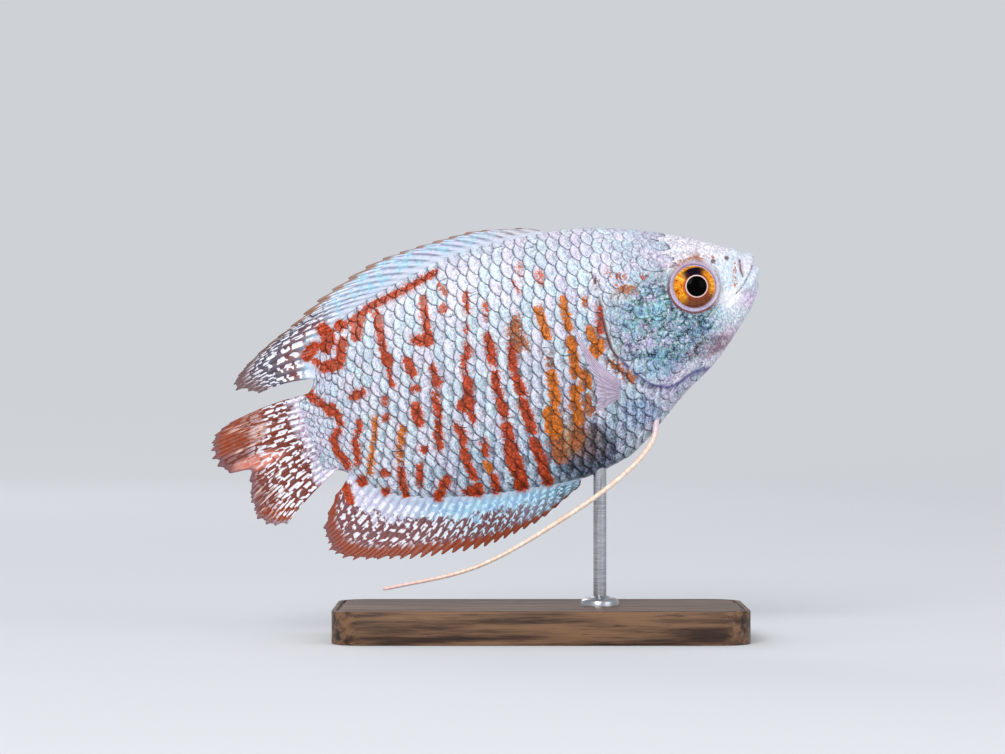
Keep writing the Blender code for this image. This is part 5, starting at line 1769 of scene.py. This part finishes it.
def make_eye_material():
    material, graph, shader = new_material("gold_eye")
    place = fish_place(graph)
    flat = graph.stretch(place, (1.0, 0.0, 1.0))
    offset = graph.vector("SUBTRACT", flat, (-PUPIL[0], 0.0, PUPIL[1]))
    distance = graph.vector("LENGTH", offset)
    turn = graph.vector("NORMALIZE", offset)
    outer = graph.vector("DISTANCE", flat, EYE_SPOT)
    streak = graph.noise(graph.stretch(turn, (6.0, 6.0, 6.0)), 2.0, 3.0, 0.7)
    blotch = graph.noise(place, 2.4, 3.0, 0.7)
    gold = graph.mix(graph.step(streak, 0.45, 0.62), colours().iris_gold, paint(255, 206, 84))
    gold = graph.mix(graph.step(blotch, 0.5, 0.64), gold, paint(164, 60, 14))
    upward = graph.vector("DOT_PRODUCT", turn, (0.14, 0.0, 0.99))
    below = graph.plus(upward, graph.times(graph.minus(blotch, 0.5), 0.9))
    colour = graph.mix(graph.step(below, -0.40, -0.85, 0.0, 0.9), gold, paint(86, 40, 44))
    inner = graph.times(graph.step(distance, 1.8, 1.5), 0.8)
    colour = graph.mix(inner, colour, paint(150, 66, 40))
    wedge = graph.plus(upward, graph.times(graph.minus(streak, 0.5), 0.3))
    wedge = graph.times(graph.step(wedge, 0.58, 0.94), graph.step(distance, 2.5, 2.2))
    colour = graph.mix(wedge, colour, paint(22, 14, 26))
    rim = graph.step(outer, 2.48, 2.58)
    grey = graph.mix(graph.step(upward, -0.5, 0.5), paint(214, 178, 176), paint(196, 190, 222))
    colour = graph.mix(rim, colour, grey)
    colour = graph.mix(graph.step(outer, 2.62, 2.72, 0.0, 0.8), colour, paint(112, 76, 92))
    colour = graph.mix(graph.step(distance, 1.40, 1.35), colour, paint(240, 206, 204))
    colour = graph.mix(graph.step(distance, 1.27, 1.22), colour, (0.0, 0.0, 0.0))
    dress(graph, shader, colour, graph.bump(streak, 0.15, 0.00004), graph.step(blotch, 0.3, 0.7, 0.18, 0.3))
    set_gloss(shader, 0.02, 0.07, 0.03)
    shader.inputs["Coat IOR"].default_value = 1.33
    return material


@node_group("wood_grain", ("Spot", "Color"), ("Color", "Height"))
def group_wood_grain(graph, given):
    """Long, slightly wavy grain along X, with dark pores."""
    long = graph.stretch(given["Spot"], (60.0, 900.0, 900.0))
    bands = graph.noise(long, 1.0, 4.0, 0.6)
    pores = graph.noise(graph.stretch(given["Spot"], (260.0, 5200.0, 5200.0)), 1.0, 2.0, 0.5)
    dark = graph.mix(0.62, given["Color"], paint(96, 74, 60), "MULTIPLY")
    light = graph.mix(0.22, given["Color"], paint(214, 164, 120))
    colour = graph.mix(graph.step(bands, 0.36, 0.64), dark, light)
    colour = graph.mix(graph.step(pores, 0.60, 0.72, 0.0, 0.65), colour, paint(28, 18, 14))
    return colour, graph.minus(bands, graph.step(pores, 0.58, 0.72))


def make_wood_material():
    material, graph, shader = new_material("dark_walnut")
    spot = graph.add("ShaderNodeTexCoord").outputs["Object"]
    grain = graph.use(group_wood_grain(), {"Spot": spot, "Color": colours().wood_dark})
    dress(
        graph, shader, grain["Color"], graph.bump(grain["Height"], 0.25, 0.00008),
        graph.step(grain["Height"], -0.4, 0.6, 0.62, 0.5),
    )
    set_gloss(shader, 0.3, 0.08, 0.3)
    return material


def make_steel_material():
    material, graph, shader = new_material("brushed_steel")
    spot = graph.add("ShaderNodeTexCoord").outputs["Object"]
    rings = graph.noise(graph.stretch(spot, (500.0, 500.0, 16000.0)), 1.0, 3.0, 0.6)
    cloud = graph.noise(spot, 600.0, 3.0, 0.5)
    steel = colours().steel
    colour = graph.mix(graph.step(rings, 0.3, 0.7), steel, paint(150, 152, 158))
    roughness = graph.plus(graph.step(rings, 0.3, 0.7, 0.22, 0.34), graph.step(cloud, 0.4, 0.7, 0.0, 0.06))
    dress(graph, shader, colour, graph.bump(rings, 0.2, 0.00002), roughness)
    shader.inputs["Metallic"].default_value = 1.0
    return material


def make_floor_material():
    material, graph, shader = new_material("pale_floor")
    spot = graph.add("ShaderNodeTexCoord").outputs["Object"]
    reach = graph.vector("LENGTH", graph.stretch(spot, (1.0, 1.0, 0.0)))
    far = graph.step(reach, 0.4, 0.85)
    graph.feed(shader.inputs["Base Color"], graph.mix(far, colours().floor, (0.0, 0.0, 0.0)))
    graph.feed(shader.inputs["Emission Color"], graph.mix(far, (0.0, 0.0, 0.0), paint(206, 209, 214)))
    shader.inputs["Emission Strength"].default_value = 1.0
    shader.inputs["Roughness"].default_value = 1.0
    shader.inputs["Specular IOR Level"].default_value = 0.0
    return material


class GouramiOperator:
    """What the operators share: each makes its pieces from the sizes and colours of the scene"""

    bl_options = {"REGISTER", "UNDO"}

    def execute(self, context):
        self.make(context)
        return {"FINISHED"}


class MESH_OT_gourami_skin(GouramiOperator, bpy.types.Operator):
    """Make the skin of the head and body, with the lips, nostrils, folds and sockets"""

    bl_idname = "mesh.gourami_skin"
    bl_label = "Skin"

    def make(self, context):
        make_skin()


class MESH_OT_gourami_scales(GouramiOperator, bpy.types.Operator):
    """Lay the scales over both flanks, the gill covers and the cheeks"""

    bl_idname = "mesh.gourami_scales"
    bl_label = "Scales"

    def make(self, context):
        material = make_scale_material()
        for side, word in SIDES:
            coat = make_scales_side(side, f"scales_{word}")
            settle(coat, material, ())


class MESH_OT_gourami_eyes(GouramiOperator, bpy.types.Operator):
    """Make both eyeballs with their pupils and golden irises"""

    bl_idname = "mesh.gourami_eyes"
    bl_label = "Eyes"

    def make(self, context):
        material = make_eye_material()
        for side, word in SIDES:
            settle(make_eyeball(side, f"eyeball_{word}"), material, (f"eye_{word}",))


class MESH_OT_gourami_upright_fins(GouramiOperator, bpy.types.Operator):
    """Make the dorsal fin, the anal fin and the tail fin with their rays"""

    bl_idname = "mesh.gourami_upright_fins"
    bl_label = "Upright fins"

    def make(self, context):
        root = outline_root(back, *DORSAL_ROOT)
        dorsal = make_fan(
            "dorsal_fan", root, DORSAL_MARGIN, DORSAL_RAYS, DORSAL_SPINES, dorsal_sway,
            bow=0.05, notch=0.07, branch_from=0.4, rows=34, sink=0.9, seed=21,
        )
        settle(dorsal, make_dorsal_material(), ("dorsal_fin",))
        root = outline_root(belly, *ANAL_ROOT)
        anal = make_fan(
            "anal_fan", root, ANAL_MARGIN, ANAL_RAYS, ANAL_SPINES, anal_sway,
            bow=-0.07, notch=0.08, branch_from=0.35, rows=34, sink=0.9, seed=22,
        )
        settle(anal, make_anal_material(), ("anal_fin",))
        tail = make_fan(
            "tail_fan", tail_root, TAIL_MARGIN, TAIL_RAYS, 0, tail_sway,
            bow=0.03, notch=0.045, branch_from=0.3, rows=44, sink=1.6, seed=23,
        )
        settle(tail, make_tail_material(), ("tail_fin",))


class MESH_OT_gourami_pectoral_fins(GouramiOperator, bpy.types.Operator):
    """Make the two see-through pectoral fins"""

    bl_idname = "mesh.gourami_pectoral_fins"
    bl_label = "Pectoral fins"

    def make(self, context):
        material = make_pectoral_material()
        for side, word in SIDES:
            fin = make_pectoral_sheet(side, f"pectoral_sheet_{word}")
            settle(fin, material, (f"pectoral_fin_{word}",))


class MESH_OT_gourami_feelers(GouramiOperator, bpy.types.Operator):
    """Make the two long thread-like pelvic fins"""

    bl_idname = "mesh.gourami_feelers"
    bl_label = "Feelers"

    def make(self, context):
        material = make_feeler_material()
        for side, word, route in ((1, "left", FEELER_FAR), (-1, "right", FEELER_NEAR)):
            thread = make_feeler_thread(side, route, f"feeler_thread_{word}")
            replaced = tuple(f"feeler_{word}_{part}" for part in ("root", "middle", "tip"))
            settle(thread, material, replaced)


class MESH_OT_gourami_stand(GouramiOperator, bpy.types.Operator):
    """Make the wooden base, the steel rod and its collar"""

    bl_idname = "mesh.gourami_stand"
    bl_label = "Stand"

    def make(self, context):
        sizes = context.scene.gourami_sizes
        plinth = make_plinth("plinth")
        settle(plinth, make_wood_material(), ("stand_base",), None, 35)
        steel = make_steel_material()
        foot = rod_foot()
        low = BASE_SIZE[2] - 0.0021
        radius = sizes.rod_radius
        rod = make_turned(
            "steel_rod", ((radius, low), (radius, 0.5 * (low + foot.z)), (radius, foot.z + 0.0009)), 48
        )
        settle(rod, steel, ("stand_rod",), None, 35)
        wide, thin, floor = sizes.collar_radius, radius + ROD_CLEARANCE, BASE_SIZE[2]
        profile = [(thin, floor - 0.0002), (wide, floor - 0.0002), (wide, floor + 0.0005)]
        profile += [(wide - 0.0001, floor + 0.0007), (wide - 0.0004, floor + 0.0009)]
        profile += [(wide - 0.0009, floor + 0.00095), (thin + 0.0003, floor + 0.0011)]
        profile += [(thin + 0.0001, floor + 0.0012), (thin, floor + 0.0012)]
        collar = make_turned("steel_collar", profile, 72)
        settle(collar, steel, ("stand_collar",), None, 40)


class SCENE_OT_gourami_stage(GouramiOperator, bpy.types.Operator):
    """Make the pale floor, the soft lights and the camera"""

    bl_idname = "scene.gourami_stage"
    bl_label = "Stage"

    def make(self, context):
        scene = context.scene
        bpy.ops.object.select_all(action="DESELECT")
        bend = np.linspace(0, np.pi / 2, 25)
        profile = [
            (0.0, 0.0), (0.45, 0.0), *zip(0.7 + 0.3 * np.sin(bend), 0.3 - 0.3 * np.cos(bend)), (1.0, 0.42)
        ]
        turns = np.linspace(0, 2 * np.pi, 129)
        floor = start_grid("floor", len(profile), len(turns))
        set_points(floor, [[(r * math.cos(t), r * math.sin(t), z) for t in turns] for r, z in profile])
        close_up(floor, fill=False)
        edit_all(floor)
        bpy.ops.mesh.flip_normals()
        bpy.ops.object.mode_set(mode="OBJECT")
        bpy.ops.object.shade_smooth_by_angle(angle=math.radians(30))
        floor.data.materials.append(make_floor_material())
        world = bpy.data.worlds.new("pale_room")
        scene.world = world
        world.use_nodes = True
        backdrop = world.node_tree.nodes["Background"]
        backdrop.inputs["Color"].default_value = (*paint(232, 236, 242), 1.0)
        backdrop.inputs["Strength"].default_value = 0.62
        lamps = (
            ("key_light", (-0.22, -0.80, 0.50), 0.42, 5.2, (1.0, 0.99, 0.97)),
            ("fill_light", (0.62, -0.55, 0.26), 0.5, 1.3, (0.96, 0.98, 1.0)),
            ("top_light", (0.05, 0.10, 0.85), 0.6, 0.4, (1.0, 1.0, 1.0)),
            ("back_light", (-0.35, 0.75, 0.45), 0.4, 1.3, (0.98, 0.99, 1.0)),
        )
        for name, place, size, power, colour in lamps:
            data = bpy.data.lights.new(name, "AREA")
            data.size = size
            data.energy = power
            data.color = colour
            lamp = bpy.data.objects.new(name, data)
            lamp.location = place
            aim = Vector((0.0, 0.0, 0.03)) - Vector(place)
            lamp.rotation_euler = aim.to_track_quat("-Z", "Y").to_euler()
            scene.collection.objects.link(lamp)
        lens = bpy.data.cameras.new("camera")
        lens.lens = CAMERA_LENS
        lens.sensor_width = 36.0
        lens.clip_start = 0.005
        camera = bpy.data.objects.new("camera", lens)
        camera.location = CAMERA_PLACE
        camera.rotation_euler = (math.pi / 2, 0.0, 0.0)
        scene.collection.objects.link(camera)
        scene.camera = camera
        scene.view_settings.view_transform = "Standard"


class VIEW3D_PT_gourami(bpy.types.Panel):
    """Buttons for each piece of the gourami and its stand"""

    bl_idname = "VIEW3D_PT_gourami"
    bl_label = "Dwarf gourami"
    bl_space_type = "VIEW_3D"
    bl_region_type = "UI"
    bl_category = "Gourami"

    def draw(self, context):
        column = self.layout.column()
        for operator in OPERATORS:
            column.operator(operator.bl_idname)
        for holder in (context.scene.gourami_sizes, context.scene.gourami_colours):
            box = self.layout.box()
            for name in holder.bl_rna.properties.keys():
                if name not in ("rna_type", "name"):
                    box.prop(holder, name)


OPERATORS = (
    SCENE_OT_gourami_stage,
    MESH_OT_gourami_skin,
    MESH_OT_gourami_scales,
    MESH_OT_gourami_eyes,
    MESH_OT_gourami_upright_fins,
    MESH_OT_gourami_pectoral_fins,
    MESH_OT_gourami_feelers,
    MESH_OT_gourami_stand,
)
CLASSES = (GouramiSizes, GouramiColours, *OPERATORS, VIEW3D_PT_gourami)


def register():
    for cls in CLASSES:
        bpy.utils.register_class(cls)
    bpy.types.Scene.gourami_sizes = PointerProperty(type=GouramiSizes)
    bpy.types.Scene.gourami_colours = PointerProperty(type=GouramiColours)


def unregister():
    del bpy.types.Scene.gourami_colours
    del bpy.types.Scene.gourami_sizes
    for cls in reversed(CLASSES):
        bpy.utils.unregister_class(cls)


def main():
    register()
    bpy.ops.scene.gourami_stage()
    bpy.ops.mesh.gourami_skin()
    bpy.ops.mesh.gourami_scales()
    bpy.ops.mesh.gourami_eyes()
    bpy.ops.mesh.gourami_upright_fins()
    bpy.ops.mesh.gourami_pectoral_fins()
    bpy.ops.mesh.gourami_feelers()
    bpy.ops.mesh.gourami_stand()


if __name__ == "__main__":
    main()
